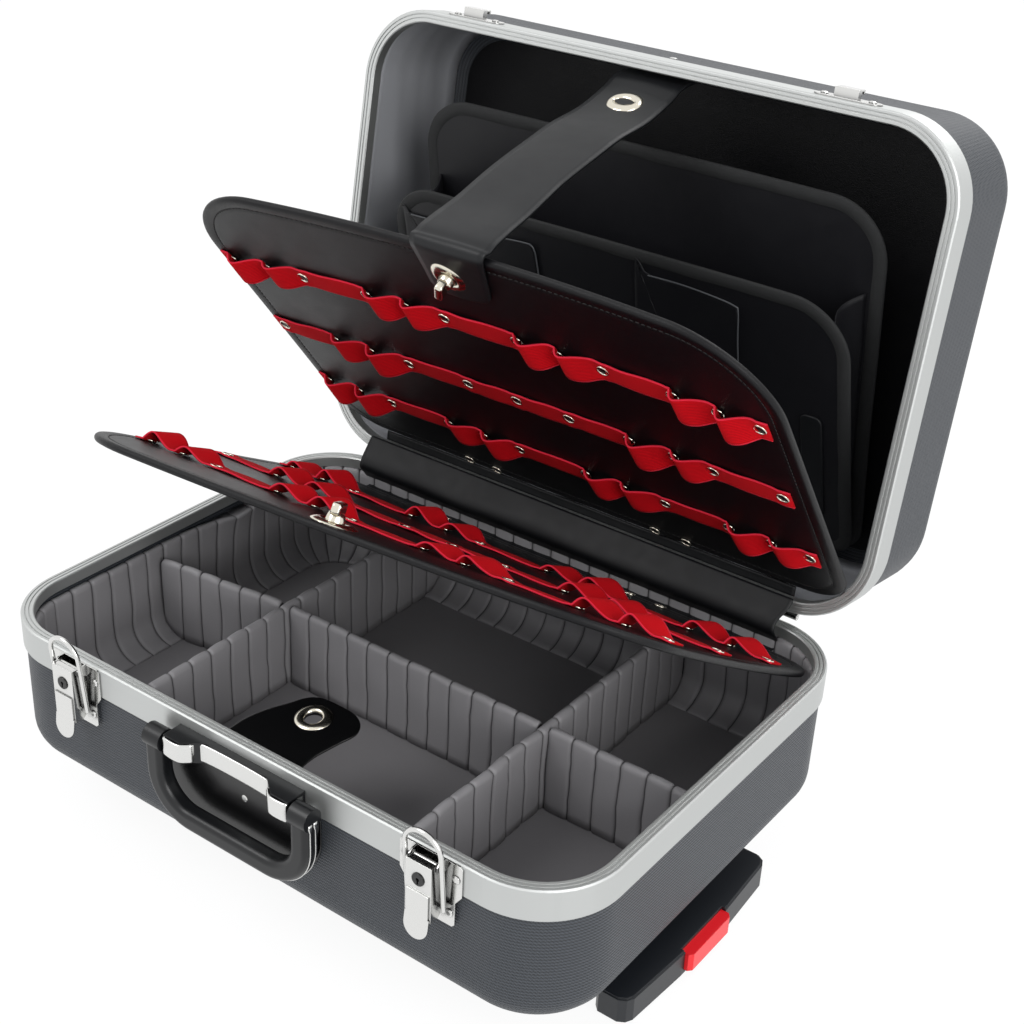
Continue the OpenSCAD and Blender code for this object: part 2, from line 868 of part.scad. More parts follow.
module tube_pair(r, x0, x1) {
    for (y = [-1, 1]) translate([x0, y * tube_y, tube_z]) rotate([0, 90, 0]) difference() {
        cylinder(r = r, h = x1 - x0);
        translate([0, 0, -1]) cylinder(r = r - tube_wall, h = x1 - x0 + 2);
    }
}

module fixed_tubes() {
    color("silver") tube_pair(tube_r, tube_start, tube_end);
}

// Middle stage, its two tubes tied by a bar in front of the fixed ones
module middle_tubes() {
    color("silver") {
        tube_pair(stage_r, tube_start + 6, tube_end + 7);
        difference() {
            translate([tube_end + 1.5, -tube_y - 5, tube_z - stage_r])
                cube([5, tube_gap + 10, 4]);
            for (y = [-1, 1]) translate([tube_end, y * tube_y, tube_z]) rotate([0, 90, 0])
                cylinder(r = stage_r - tube_wall, h = 10);
        }
    }
}

module inner_tubes() {
    color("silver") tube_pair(inner_r, tube_start + 12, pull_x0 + 6);
}

// Plastic frame under the base that carries tubes and wheels
module trolley_frame() {
    top = trolley_h - seat;
    color("black") difference() {
        union() {
            translate([tube_start - 4, -tube_y - 13, top - 5])
                cube([tube_end - tube_start, 2 * tube_y + 26, 5]);
            for (y = [-1, 1]) translate([tube_start - 4, y * tube_y - 13, 2.5])
                cube([tube_end - tube_start, 26, top - 2.5]);
            translate([tube_start - 4, -10, 0]) cube([tube_end - tube_start, 20, top]);
            wheel_blocks(top);
        }
        for (y = [-1, 1]) translate([tube_start - 0.5, y * tube_y, tube_z]) rotate([0, 90, 0])
            cylinder(r = tube_r + fit, h = case_l);
        for (y = [-1, 1]) translate([axle_x, y * wheel_gap / 2, tube_z + 10.5])
            rotate([90, 0, 0]) cylinder(r = axle_r, h = wheel_t + 40, center = true);
    }
}

// Forks on both sides of each wheel
module wheel_blocks(top) {
    x0 = axle_x - 7;
    x1 = tube_start;
    for (y = [-1, 1], s = [-1, 1])
        translate([x0, y * wheel_gap / 2 + s * (wheel_t / 2 + 4.5) - 3.5, 2.5])
            rotate([90, 0, 90]) cube([7, top - 3.9, x1 - x0]);
    for (y = [-1, 1])
        translate([x1 - 12, y * wheel_gap / 2 - wheel_t / 2 - 8, 0])
            cube([14, wheel_t + 16, top]);
}

module wheel(y) {
    color("black") translate([axle_x, y * wheel_gap / 2, tube_z + 10.5]) rotate([90, 0, 0])
        difference() {
            union() {
                cylinder(r = wheel_r - 2, h = wheel_t, center = true);
                cylinder(r = wheel_r, h = wheel_t - 6, center = true);
            }
            cylinder(r = axle_r + fit, h = wheel_t + 2, center = true);
        }
}

module wheel_axles() {
    color("silver") for (y = [-1, 1]) translate([axle_x, y * wheel_gap / 2, tube_z + 10.5])
        rotate([90, 0, 0]) cylinder(r = axle_r, h = wheel_t + 14, center = true);
}

// Standing feet, the front pair set well in
module support_feet() {
    h = trolley_h - seat;
    color("black") for (x = [-1, 1], y = [-tube_y - 22.5, half_d - 50])
        translate([x * (half_l - 95), y, 0]) {
            cylinder(r1 = 7.5, r2 = 9, h = 4);
            translate([0, 0, 4]) cylinder(r = 9, h = h - 4);
        }
}

// Pull grip with the pocket for its release button
module pull_grip() {
    h = pull_z1 - pull_z0;
    w = pull_w / 2;
    color("black") difference() {
        translate([0, 0, pull_z0]) union() {
            linear_extrude(h - 1.2) pull_outline(w, 0);
            translate([0, 0, h - 1.2]) linear_extrude(1.2) pull_outline(w - 1, 1);
        }
        translate([pull_x1 - 16, -button_w / 2 - gap, pull_z0 + 3])
            cube([30, button_w + 2 * gap, h - 5]);
        translate([pull_x1 - 3.5, -button_w / 2 - gap, pull_z0 + 3])
            cube([30, button_w + 2 * gap, h]);
        for (y = [-1, 1]) translate([pull_x0 - 1, y * tube_y, tube_z]) rotate([0, 90, 0])
            cylinder(r = inner_r + 0.01, h = 7 + 0.2);
    }
}

// Plan of the grip: bowed front, chamfered ends
module pull_outline(w, inset) {
    x0 = pull_x0 + inset;
    x1 = pull_x1 - inset;
    polygon([
        [x0, -w + 4], [x0 + 4, -w], [x1 - 11, -w], [x1 - 6, -w + 3], [x1 - 3.5, -w + 8],
        [x1, -30], [x1, 30], [x1 - 3.5, w - 8], [x1 - 6, w - 3], [x1 - 11, w],
        [x0 + 4, w], [x0, w - 4]
    ]);
}

module pull_button() {
    color("red") translate([pull_x1 - 8, -button_w / 2, pull_z0 + 3 + gap]) difference() {
        linear_extrude(pull_z1 - pull_z0 - 5.6)
            polygon([[0, 0], [10.5, 0], [13, 3], [13, button_w - 3], [10.5, button_w], [0, button_w]]);
        translate([-1, button_w / 2, spring_z - pull_z0 - 3 - gap]) rotate([0, 90, 0])
            cylinder(r = 5, h = 4);
    }
}

// Return spring between the button and the grip's pocket
module button_spring() {
    r = 3.6;
    wire = 0.5;
    turns = 5;
    per = 16;
    len = 8 + 3 - 2 * gap - 2 * wire;
    n = turns * per;
    k = 6;
    pts = [for (i = [0 : n], j = [0 : k - 1]) let (
        a = 360 * i / per,
        b = 360 * j / k,
        rr = r + wire * cos(b)
    ) [len * i / n + wire * sin(b), rr * cos(a), rr * sin(a)]];
    faces = concat(
        [[for (j = [0 : k - 1]) j]],
        [[for (j = [k - 1 : -1 : 0]) n * k + j]],
        [for (i = [0 : n - 1], j = [0 : k - 1]) let (j2 = (j + 1) % k)
            [i * k + j, (i + 1) * k + j, (i + 1) * k + j2, i * k + j2]]
    );
    color("silver") translate([pull_x1 - 16 + gap + wire, 0, spring_z])
        polyhedron(points = pts, faces = faces);
}

base_shell();
base_frame();
base_wall_liner();
raised_floor();
floor_mat();
long_dividers();
cross_dividers();
latch_plates();
pivot_pins();
base_rivets();
handle_bracket();
handle_bracket_trim();
hinge_base_leaf();
hinge_pin();
hinge_cover();
trolley_frame();
fixed_tubes();
support_feet();
wheel_axles();
lower_board_strip();
lid_shell();
lid_frame();
lid_side_lining();
lid_back_panel();
hinge_lid_leaf();
lid_catches();
lid_rivets();
strap_eyelet();
board_strap();
upper_board_strip();
upper_board();
upper_elastic_bands();
upper_band_rivets();
upper_lock_plate();
upper_turn_knob();
lower_board();
lower_elastic_bands();
lower_band_rivets();
lower_lock_plate();
lower_turn_knob();
wallet_rear();
wallet_gussets();
wallet_front();
closure_flap();
flap_eyelet();
latch_lever(-1);  // latch_lever_left
latch_lever(1);  // latch_lever_right
latch_bail(-1);  // latch_bail_left
latch_bail(1);  // latch_bail_right
lock_barrel(-1);  // lock_barrel_left
lock_barrel(1);  // lock_barrel_right
carry_handle();
middle_tubes();
inner_tubes();
pull_grip();
pull_button();
button_spring();
wheel(-1);  // wheel_front
wheel(1);  // wheel_rear
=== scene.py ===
import bmesh
import bpy
import math
import numpy as np
from mathutils import Matrix, Vector


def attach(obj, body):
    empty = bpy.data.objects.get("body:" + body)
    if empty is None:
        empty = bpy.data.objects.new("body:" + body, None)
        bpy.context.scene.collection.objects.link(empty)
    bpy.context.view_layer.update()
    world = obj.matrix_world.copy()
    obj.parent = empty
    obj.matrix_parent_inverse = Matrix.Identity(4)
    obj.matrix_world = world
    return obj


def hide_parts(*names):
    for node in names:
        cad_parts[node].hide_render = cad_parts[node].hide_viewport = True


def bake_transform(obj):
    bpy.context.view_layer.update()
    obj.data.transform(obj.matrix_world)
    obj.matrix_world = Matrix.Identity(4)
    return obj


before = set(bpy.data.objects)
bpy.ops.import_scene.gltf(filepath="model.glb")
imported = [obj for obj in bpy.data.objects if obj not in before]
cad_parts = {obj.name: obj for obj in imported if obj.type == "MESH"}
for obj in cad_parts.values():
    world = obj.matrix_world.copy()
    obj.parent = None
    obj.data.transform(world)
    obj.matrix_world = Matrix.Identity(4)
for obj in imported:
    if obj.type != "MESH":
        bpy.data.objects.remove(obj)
bpy.context.view_layer.update()

# sizes shared by several pieces, in mm, in the frame of the closed case
case = {"length": 510, "depth": 364, "rim": 160, "cornerRadius": 59.5, "baseHeight": 113,
        "lidHeight": 114, "edgeRadius": 24, "shellInset": 2, "wall": 3, "hingeY": 185,
        "hingeUp": 4.8, "lidOpen": 99.5}
# where each hinged part turns, from the hinge side to the front and up, and its tilt
hinges = {"upper": (163, 11, 46.3), "lower": (163, -19.5, -29), "rearWallet": (158, 100, 17),
          "frontWallet": (158, 88, 27), "flap": (-170.8, -23, 8)}


# frames and meshes

def turnX(degrees, y=0.0, z=0.0):
    move = Matrix.Translation((0, y, z))
    return move @ Matrix.Rotation(math.radians(degrees), 4, "X") @ move.inverted()


def asArray(matrix):
    return np.array(matrix, float).reshape(4, 4)


baseFrame = asArray(Matrix.Translation((0, 0, case["rim"])))
lidFrame = asArray(Matrix.Translation((0, 0, case["rim"]))
                   @ turnX(-case["lidOpen"], case["hingeY"], case["hingeUp"]))


def hingedAt(which):
    y, z, tilt = hinges[which]
    return Matrix.Translation((0, y, z)) @ Matrix.Rotation(math.radians(tilt), 4, "X")


def boardFrame(parent, which, flip):
    # board points are (across, from the hinge edge, out of the working face)
    axes = Matrix(((1, 0, 0, 0), (0, -1, 0, 0), (0, 0, -1 if flip else 1, 0), (0, 0, 0, 1)))
    return parent @ asArray(hingedAt(which) @ axes)


upperFrame = boardFrame(lidFrame, "upper", True)
lowerFrame = boardFrame(baseFrame, "lower", False)
rearWalletFrame = boardFrame(lidFrame, "rearWallet", True)
frontWalletFrame = boardFrame(lidFrame, "frontWallet", True)
flapFrame = baseFrame @ asArray(hingedAt("flap"))


def place(points, matrix):
    flat = points.reshape(-1, 3)
    return (flat @ matrix[:3, :3].T + matrix[:3, 3]).reshape(points.shape)


def gridFaces(rows, columns, wrapRows=False, wrapColumns=False):
    i, j = np.meshgrid(np.arange(rows if wrapRows else rows - 1),
                       np.arange(columns if wrapColumns else columns - 1), indexing="ij")
    i2, j2 = (i + 1) % rows, (j + 1) % columns
    corners = [i * columns + j, i2 * columns + j, i2 * columns + j2, i * columns + j2]
    return np.stack(corners, -1).reshape(-1, 4)


def ringFaces(grid):
    # faces of a grid that closes on itself both ways
    return gridFaces(*grid.shape[:2], True, True).tolist()


def cappedFaces(grid):
    # faces of a row of rings with the first and the last closed
    rows, count = grid.shape[:2]
    faces = gridFaces(rows, count, wrapColumns=True).tolist()
    return faces + [list(range(count)), list(range((rows - 1) * count, rows * count))]


def together(*parts):
    # coordinates that broadcast to one grid of points
    return np.stack(np.broadcast_arrays(*parts), -1)


def unit(rows):
    return rows / np.linalg.norm(rows, axis=1)[:, None]


def distances(points):
    # distance run along a line of points
    return np.append(0, np.cumsum(np.linalg.norm(np.diff(points, axis=0), axis=1)))


def insetRings(outline, normals, rows):
    # the outline moved in and up by rows of (inset, height)
    return [np.column_stack([outline - normals * inset, np.full(len(outline), float(height))])
            for inset, height in rows]


def addObject(name, data):
    thing = bpy.data.objects.new(name, data)
    bpy.context.scene.collection.objects.link(thing)
    return thing


def faceOutward(mesh):
    work = bmesh.new()
    work.from_mesh(mesh)
    bmesh.ops.recalc_face_normals(work, faces=work.faces)
    work.to_mesh(mesh)
    work.free()


def addPiece(name, points, faces, material, body=None, replaced=(), uv=None, seam=None,
             around=0):
    # points in mm in the row frame; faces a list of index rows; a map that closes on itself
    # after the length around runs on past it instead of back to its start
    mesh = bpy.data.meshes.new(name)
    mesh.from_pydata((points.reshape(-1, 3) * 0.001).tolist(), [], [list(f) for f in faces])
    mesh.update()
    if uv is not None:
        layer = mesh.uv_layers.new(name="flatCut")
        corners = np.zeros(len(mesh.loops), np.int32)
        mesh.loops.foreach_get("vertex_index", corners)
        flat = uv.reshape(-1, 2)[corners]
        if around:
            starts, sizes = np.zeros((2, len(mesh.polygons)), np.int32)
            mesh.polygons.foreach_get("loop_start", starts)
            mesh.polygons.foreach_get("loop_total", sizes)
            spread = np.maximum.reduceat(flat[:, 0], starts) \
                - np.minimum.reduceat(flat[:, 0], starts)
            flat[:, 0] += around * (np.repeat(spread > around / 2, sizes)
                                    & (flat[:, 0] < around / 2))
        layer.data.foreach_set("uv", flat.astype(np.float32).ravel())
    if seam is not None:
        layer = mesh.attributes.new("seam", "FLOAT", "POINT")
        layer.data.foreach_set("value", seam.ravel().astype(np.float32))
    mesh.materials.append(materials[material])
    mesh.shade_smooth()
    piece = addObject(name, mesh)
    faceOutward(mesh)
    if body:
        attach(piece, body)
    if replaced:
        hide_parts(*replaced)
    return piece


def roundLoop(length, depth, radius, step, nearRadius=None):
    # outline of a rounded rectangle: points, outward normals and distance run, closed
    near = radius if nearRadius is None else nearRadius
    corners = [(1, 1, 0, radius), (-1, 1, 90, radius), (-1, -1, 180, near), (1, -1, 270, near)]
    parts, normals = [], []
    for k, (sx, sy, a, r) in enumerate(corners):
        centre = np.array([sx * (length / 2 - r), sy * (depth / 2 - r)])
        angles = np.radians(a + np.linspace(0, 90, max(6, int(round(r * 1.57 / step))) + 1))
        ways = np.stack([np.cos(angles), np.sin(angles)], 1)
        arc = centre + r * ways
        sx2, sy2, _, r2 = corners[(k + 1) % 4]
        end = np.array([sx2 * (length / 2 - r2), sy2 * (depth / 2 - r2)]) + r2 * ways[-1]
        count = max(2, int(round(np.linalg.norm(end - arc[-1]) / step)))
        inner = np.linspace(0, 1, count + 1)[1:-1, None]
        parts += [arc, arc[-1] * (1 - inner) + end * inner]
        normals += [ways, np.repeat(ways[-1:], len(inner), 0)]
    points, normals = np.concatenate(parts), np.concatenate(normals)
    gaps = np.linalg.norm(np.roll(points, -1, 0) - points, axis=1)
    run = np.concatenate([[0], np.cumsum(gaps)])
    return points, normals, run[:-1], run[-1]


def alongLoop(loop, where):
    # points and normals of a closed outline at given distances round it
    points, normals, run, total = loop
    spots = np.append(run, total)
    closed, turned = np.vstack([points, points[:1]]), np.vstack([normals, normals[:1]])
    where = np.mod(where, total)
    at = np.stack([np.interp(where, spots, closed[:, k]) for k in (0, 1)], 1)
    way = np.stack([np.interp(where, spots, turned[:, k]) for k in (0, 1)], 1)
    return at, unit(way)


def smoothPath(knots, count, closed=False):
    # Catmull-Rom curve through the knots, then spaced evenly
    k = np.array(knots, float)
    ends = (k[-1:], k[:2]) if closed else (2 * k[:1] - k[1:2], 2 * k[-1:] - k[-2:-1])
    p = np.vstack([ends[0], k, ends[1]])
    t = np.linspace(0, 1, 24, endpoint=False)[None, :, None]
    a, b, c, d = (p[i:len(p) - 3 + i, None, :] for i in range(4))
    curve = 0.5 * (2 * b + (c - a) * t + (2 * a - 5 * b + 4 * c - d) * t ** 2
                   + (3 * b - a - 3 * c + d) * t ** 3)
    dense = np.vstack([curve.reshape(-1, k.shape[1]), k[:1] if closed else k[-1:]])
    run = distances(dense)
    spots = np.linspace(0, run[-1], count, endpoint=not closed)
    return np.stack([np.interp(spots, run, dense[:, i]) for i in range(k.shape[1])], 1)


def outlineNormals(points):
    # outward normals of a closed outline that runs anticlockwise
    along = np.roll(points, -1, 0) - np.roll(points, 1, 0)
    return unit(np.stack([along[:, 1], -along[:, 0]], 1))


def plate(outline, normals, profile, shares=(0.12, 0.35, 0.55, 0.75, 0.9)):
    # a slab with a shaped edge: profile rows are (inset, height), top middle to bottom middle
    rings = insetRings(outline, normals, profile)
    flat = np.array([[*outline.mean(0), 0.0]])

    def inner(ring, share):
        spot = flat + [[0, 0, ring[0, 2]]]
        return spot + (ring - spot) * share

    grid = np.stack([inner(rings[0], s) for s in shares] + rings
                    + [inner(rings[-1], s) for s in shares[::-1]])
    return grid, cappedFaces(grid)


def ribbon(lines, half, normals=None, wrapLines=False):
    # a thin sheet: grid of middle points thickened by half along its own or given normals
    normals = surfaceNormals(lines) if normals is None else normals
    top, bottom = lines + normals * half, lines - normals * half
    ring = np.concatenate([top, bottom[:, ::-1]], 1)
    faces = gridFaces(ring.shape[0], ring.shape[1], wrapLines, True).tolist()
    if not wrapLines:
        count = ring.shape[1]
        steps = np.arange(count // 2 - 1)
        for start in (0, (ring.shape[0] - 1) * count):
            low, high = start + steps, start + count - 1 - steps
            faces += np.stack([low, low + 1, high - 1, high], 1).tolist()
    return ring, faces


def surfaceNormals(grid):
    along, across = np.gradient(grid, axis=0), np.gradient(grid, axis=1)
    normals = np.cross(along, across)
    return normals / np.maximum(np.linalg.norm(normals, axis=2), 1e-9)[..., None]


def tubeAlong(path, radius, count=8):
    # round wire along a path
    tangent = unit(np.gradient(path, axis=0))
    side = np.cross(tangent, [0.0, 0.0, 1.0])
    side = side / np.maximum(np.linalg.norm(side, axis=1), 1e-6)[:, None]
    up = np.cross(side, tangent)
    a = np.linspace(0, 2 * np.pi, count, endpoint=False)[None, :, None]
    grid = path[:, None] + radius * (np.cos(a) * side[:, None] + np.sin(a) * up[:, None])
    return grid, cappedFaces(grid)


def turned(profile, count, ring=False):
    # a profile of (radius, height) turned about the upright axis, closed at its ends, or a
    # ring whose profile closes on itself
    rows = np.array(profile, float)
    a = np.linspace(0, 2 * np.pi, count, endpoint=False)
    grid = np.stack([np.outer(rows[:, 0], np.cos(a)), np.outer(rows[:, 0], np.sin(a)),
                     np.repeat(rows[:, 1:], count, 1)], -1)
    return grid, ringFaces(grid) if ring else cappedFaces(grid)


def joinGrids(parts):
    # several (points, faces) pairs as one
    points, faces, start = [], [], 0
    for p, f in parts:
        flat = np.asarray(p).reshape(-1, 3)
        points.append(flat)
        faces += [[i + start for i in row] for row in f]
        start += len(flat)
    return np.concatenate(points), faces


def ripple(x, y, scale, seed):
    # slow smooth noise of about -1 to 1 as a sum of waves with random headings
    draw = np.random.default_rng(seed)
    total = 0.0
    for heading, phase, pitch in zip(draw.uniform(0, 6.28, 9), draw.uniform(0, 6.28, 9),
                                     draw.uniform(0.6, 1.9, 9)):
        total = total + np.sin((x * math.cos(heading) + y * math.sin(heading))
                               * 6.28 * pitch / scale + phase)
    return total / 3.2


# materials

def srgb(text):
    c = np.array([int(text[i:i + 2], 16) for i in (0, 2, 4)]) / 255
    linear = np.where(c <= 0.04045, c / 12.92, ((c + 0.055) / 1.055) ** 2.4)
    return (*linear.tolist(), 1.0)


def connect(tree, source, socket):
    node, output = source
    tree.links.new(node.outputs[output], socket)


def addNode(tree, kind, values=()):
    # a value is a setting, what an input holds, or the (node, output) that feeds it
    node = tree.nodes.new(kind)
    for key, value in dict(values).items():
        if isinstance(value, tuple) and isinstance(value[0], bpy.types.Node):
            connect(tree, value, node.inputs[key])
        elif isinstance(key, str) and hasattr(node, key):
            setattr(node, key, value)
        else:
            node.inputs[key].default_value = value
    return node


def calculate(tree, operation, *terms):
    node = addNode(tree, "ShaderNodeMath", {"operation": operation, **dict(enumerate(terms))})
    return node, "Value"


def remap(tree, value, low=0.0, high=1.0, toLow=0.0, toHigh=1.0):
    return addNode(tree, "ShaderNodeMapRange", {
        "Value": value, "From Min": low, "From Max": high, "To Min": toLow,
        "To Max": toHigh}), "Result"


def mixColours(tree, shader, share, first, second):
    mix = addNode(tree, "ShaderNodeMix",
                  {"data_type": "RGBA", 0: share, 6: srgb(first), 7: srgb(second)})
    connect(tree, (mix, 2), shader.inputs["Base Color"])
    return mix


def newMaterial(name, colour, roughness, metallic=0.0, ior=1.5):
    material = bpy.data.materials.new(name)
    material.use_nodes = True
    shader = material.node_tree.nodes["Principled BSDF"]
    shader.inputs["Base Color"].default_value = srgb(colour)
    shader.inputs["Roughness"].default_value = roughness
    shader.inputs["Metallic"].default_value = metallic
    if metallic < 0.5:
        shader.inputs["IOR"].default_value = ior
    material.diffuse_color = srgb(colour)
    return material, material.node_tree, shader


def bump(tree, shader, height, strength, distance):
    node = addNode(tree, "ShaderNodeBump",
                   {"Strength": strength, "Distance": distance, "Height": height})
    connect(tree, (node, "Normal"), shader.inputs["Normal"])


def softEdges(tree, shader, radius):
    # edges broken by a small bevel in the normal
    edge = addNode(tree, "ShaderNodeBevel", {"samples": 4, "Radius": radius})
    connect(tree, (edge, "Normal"), shader.inputs["Normal"])


def seamShare(tree):
    return addNode(tree, "ShaderNodeAttribute", {"attribute_name": "seam"}), "Fac"


def grainedSheet(name, colour, roughness, cell, strength, wear=0.06, seamColour=None,
                 ior=1.5):
    # embossed sheet: cells of the given size in mm from voronoi edges over slow noise
    material, tree, shader = newMaterial(name, colour, roughness, ior=ior)
    scale = 1000 / cell
    where = addNode(tree, "ShaderNodeTexCoord"), "Object"
    cells = addNode(tree, "ShaderNodeTexVoronoi",
                    {"feature": "DISTANCE_TO_EDGE", "Scale": scale, "Vector": where})
    cut = remap(tree, (cells, "Distance"), high=0.25)
    slow = addNode(tree, "ShaderNodeTexNoise",
                   {"Scale": scale / 14, "Detail": 3.0, "Vector": where}), "Fac"
    bump(tree, shader, calculate(tree, "MULTIPLY_ADD", slow, 0.35, cut), strength, 0.0002)
    sheen = remap(tree, slow, toLow=roughness - wear, toHigh=roughness + wear)
    connect(tree, sheen, shader.inputs["Roughness"])
    if seamColour:
        # the sewn channels hold dust and shade
        mixColours(tree, shader, seamShare(tree), colour, seamColour)
    return material


def hardware(name, colour, roughness, bevel=0.0003, corner=None):
    material, tree, shader = newMaterial(name, colour, roughness, metallic=1.0)
    softEdges(tree, shader, bevel)
    if corner:
        # painted shade: the colour darkens towards the corner colour where ambient occlusion
        # finds the part hemmed in
        near = addNode(tree, "ShaderNodeAmbientOcclusion", {"samples": 6, "Distance": 0.005})
        mixColours(tree, shader, remap(tree, (near, "AO"), 0.25, 0.95), corner, colour)
    return material


def moulded(name, colour, roughness, bevel=0.0006, ior=1.5):
    # injection-moulded part with softened edges
    material, tree, shader = newMaterial(name, colour, roughness, ior=ior)
    softEdges(tree, shader, bevel)
    return material


def crossedWaves(name, colour, dark, roughness, pitchAlong, pitchAcross, depth, strength,
                 slant=0.0, edgeHighlight=None, ior=1.5):
    # fine waves across the piece's own map, crossed by others along it, slanted if asked; painted
    # shade darkens the colour in their troughs
    material, tree, shader = newMaterial(name, colour, roughness, ior=ior)
    where = addNode(tree, "ShaderNodeTexCoord")
    axes = addNode(tree, "ShaderNodeSeparateXYZ", {"Vector": (where, "UV")})
    leaning = calculate(tree, "MULTIPLY_ADD", (axes, "Y"), -slant, (axes, "X"))
    across, along = (
        calculate(tree, "SINE", calculate(tree, "MULTIPLY", way, 2 * math.pi / pitch))
        for way, pitch in (((axes, "Y"), pitchAcross), (leaning, pitchAlong)))
    both = calculate(tree, "MULTIPLY_ADD", along, 0.8 if slant else 0.4, across)
    if slant:
        # the ribs fade out over the flat top and bottom
        both = calculate(tree, "MULTIPLY", both,
                         calculate(tree, "SUBTRACT", 1.0, seamShare(tree)))
    bump(tree, shader, both, strength, depth)
    # painted shade: the colour runs from the dark colour in the troughs to the full colour on the
    # crests
    mix = mixColours(tree, shader, remap(tree, both, -1.1, 0.9), dark, colour)
    if edgeHighlight:
        # painted highlight: the colour turns paler along both edges of the band
        out = remap(tree, calculate(tree, "ABSOLUTE", (axes, "Y")), 0.0086, 0.0092)
        edge = mixColours(tree, shader, out, colour, edgeHighlight)
        connect(tree, (mix, 2), edge.inputs[6])
    return material


materials = {
    # nickel-plated pressed steel, with painted shade in its corners
    "nickel": hardware("nickelPlatedSteel", "dededc", 0.16, corner="3a3b3d"),
    # nickel over brass, warmer
    "eyelet": hardware("nickelPlatedBrass", "e2dccd", 0.2, 0.0002),
    # satin anodised aluminium extrusion
    "aluminium": hardware("anodisedAluminium", "c8cac9", 0.52, 0.0005),
    # drawn aluminium tube
    "tube": hardware("drawnAluminiumTube", "b9bcc0", 0.3),
    # embossed grey leatherette over foam
    "grey": grainedSheet("greyLeatherette", "8a888a", 0.5, 0.9, 0.2, seamColour="262426"),
    # needled floor mat
    "mat": grainedSheet("greyFloorMat", "767476", 0.75, 0.65, 0.3),
    # black embossed leatherette over board
    "black": grainedSheet("blackLeatherette", "0a0a0d", 0.42, 1.25, 0.4, ior=1.32),
    # smooth gloss leatherette of the flap
    "gloss": grainedSheet("glossFlapLeather", "0a0a0b", 0.2, 0.7, 0.06, 0.03),
    # smooth leatherette of the strap and the hinge cover
    "strap": grainedSheet("smoothStrapLeather", "161719", 0.42, 0.7, 0.1, ior=1.36),
    "cover": grainedSheet("smoothCoverLeather", "08090c", 0.5, 0.7, 0.1, ior=1.36),
    # smooth grey lining of the lid's walls
    "lining": grainedSheet("greyLiningCloth", "9c9da1", 0.6, 0.6, 0.2),
    # black leatherette of the wallets
    "wallet": grainedSheet("blackWalletLeather", "0e0e12", 0.5, 0.75, 0.25, ior=1.42),
    # woven tape bound over the wallets' edges
    "tape": grainedSheet("wovenBindingTape", "1a1b1c", 0.75, 0.4, 0.6),
    # waxed sewing thread
    "thread": newMaterial("blackSewingThread", "0a0a0a", 0.6)[0],
    "pipe": newMaterial("greyPipedEdge", "47494c", 0.4)[0],
    # moulded satin nylon
    "nylon": moulded("blackMouldedNylon", "121315", 0.34, ior=1.45),
    # moulded trolley plastic
    "trolley": moulded("blueBlackPolypropylene", "181b20", 0.4, 0.001),
    "red": moulded("redGlossPlastic", "ec1c26", 0.3, 0.0008),
    "rubber": newMaterial("blackRubber", "151515", 0.75, ior=1.52)[0],
    "hardboard": grainedSheet("brownHardboard", "5b4630", 0.8, 1.1, 0.3),
    # die-cast lock barrel, blackened
    "dark": newMaterial("blackenedZinc", "1a1a1a", 0.4)[0],
    # knitted red elastic, with painted shade in the troughs of its knit and a painted highlight
    # along its edges
    "elastic": crossedWaves("redKnittedElastic", "cc0010", "9c000c", 1.0, 0.0008, 0.0011,
                            0.0002, 0.3, edgeHighlight="e02a40", ior=1.28),
    # blow-moulded shell with a ribbed grain, with painted shade in the troughs of its ribs
    "shell": crossedWaves("ribbedShellPlastic", "40444a", "25282c", 0.45, 0.0026, 0.0024,
                          0.0003, 0.45, slant=1.0, ior=1.43),
}
print("materials made")

# better finishes on the CAD nodes that show
finishes = {
    "nickel": ["latch_plates", "pivot_pins", "base_rivets", "hinge_base_leaf",
               "hinge_lid_leaf", "hinge_pin", "wheel_axles", "lid_catches", "lid_rivets",
               "latch_lever_left", "latch_lever_right", "latch_bail_left", "latch_bail_right",
               "button_spring"],
    "aluminium": ["base_frame", "lid_frame"],
    "dark": ["lock_barrel_left", "lock_barrel_right"],
    "tube": ["fixed_tubes", "middle_tubes", "inner_tubes"],
    "hardboard": ["raised_floor"],
    "black": ["lid_back_panel"],
    "nylon": ["handle_bracket", "carry_handle"],
    "trolley": ["trolley_frame", "pull_grip"],
    "rubber": ["support_feet", "wheel_front", "wheel_rear"],
    "red": ["pull_button"],
}
for kind, nodes in finishes.items():
    for name in nodes:
        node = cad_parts[name]
        node.data.materials.clear()
        node.data.materials.append(materials[kind])
print("finishes on the CAD nodes")

# shells
shells = {"baseShort": 2.6, "lidShort": 2.9}  # how far each tub stops short of its rim


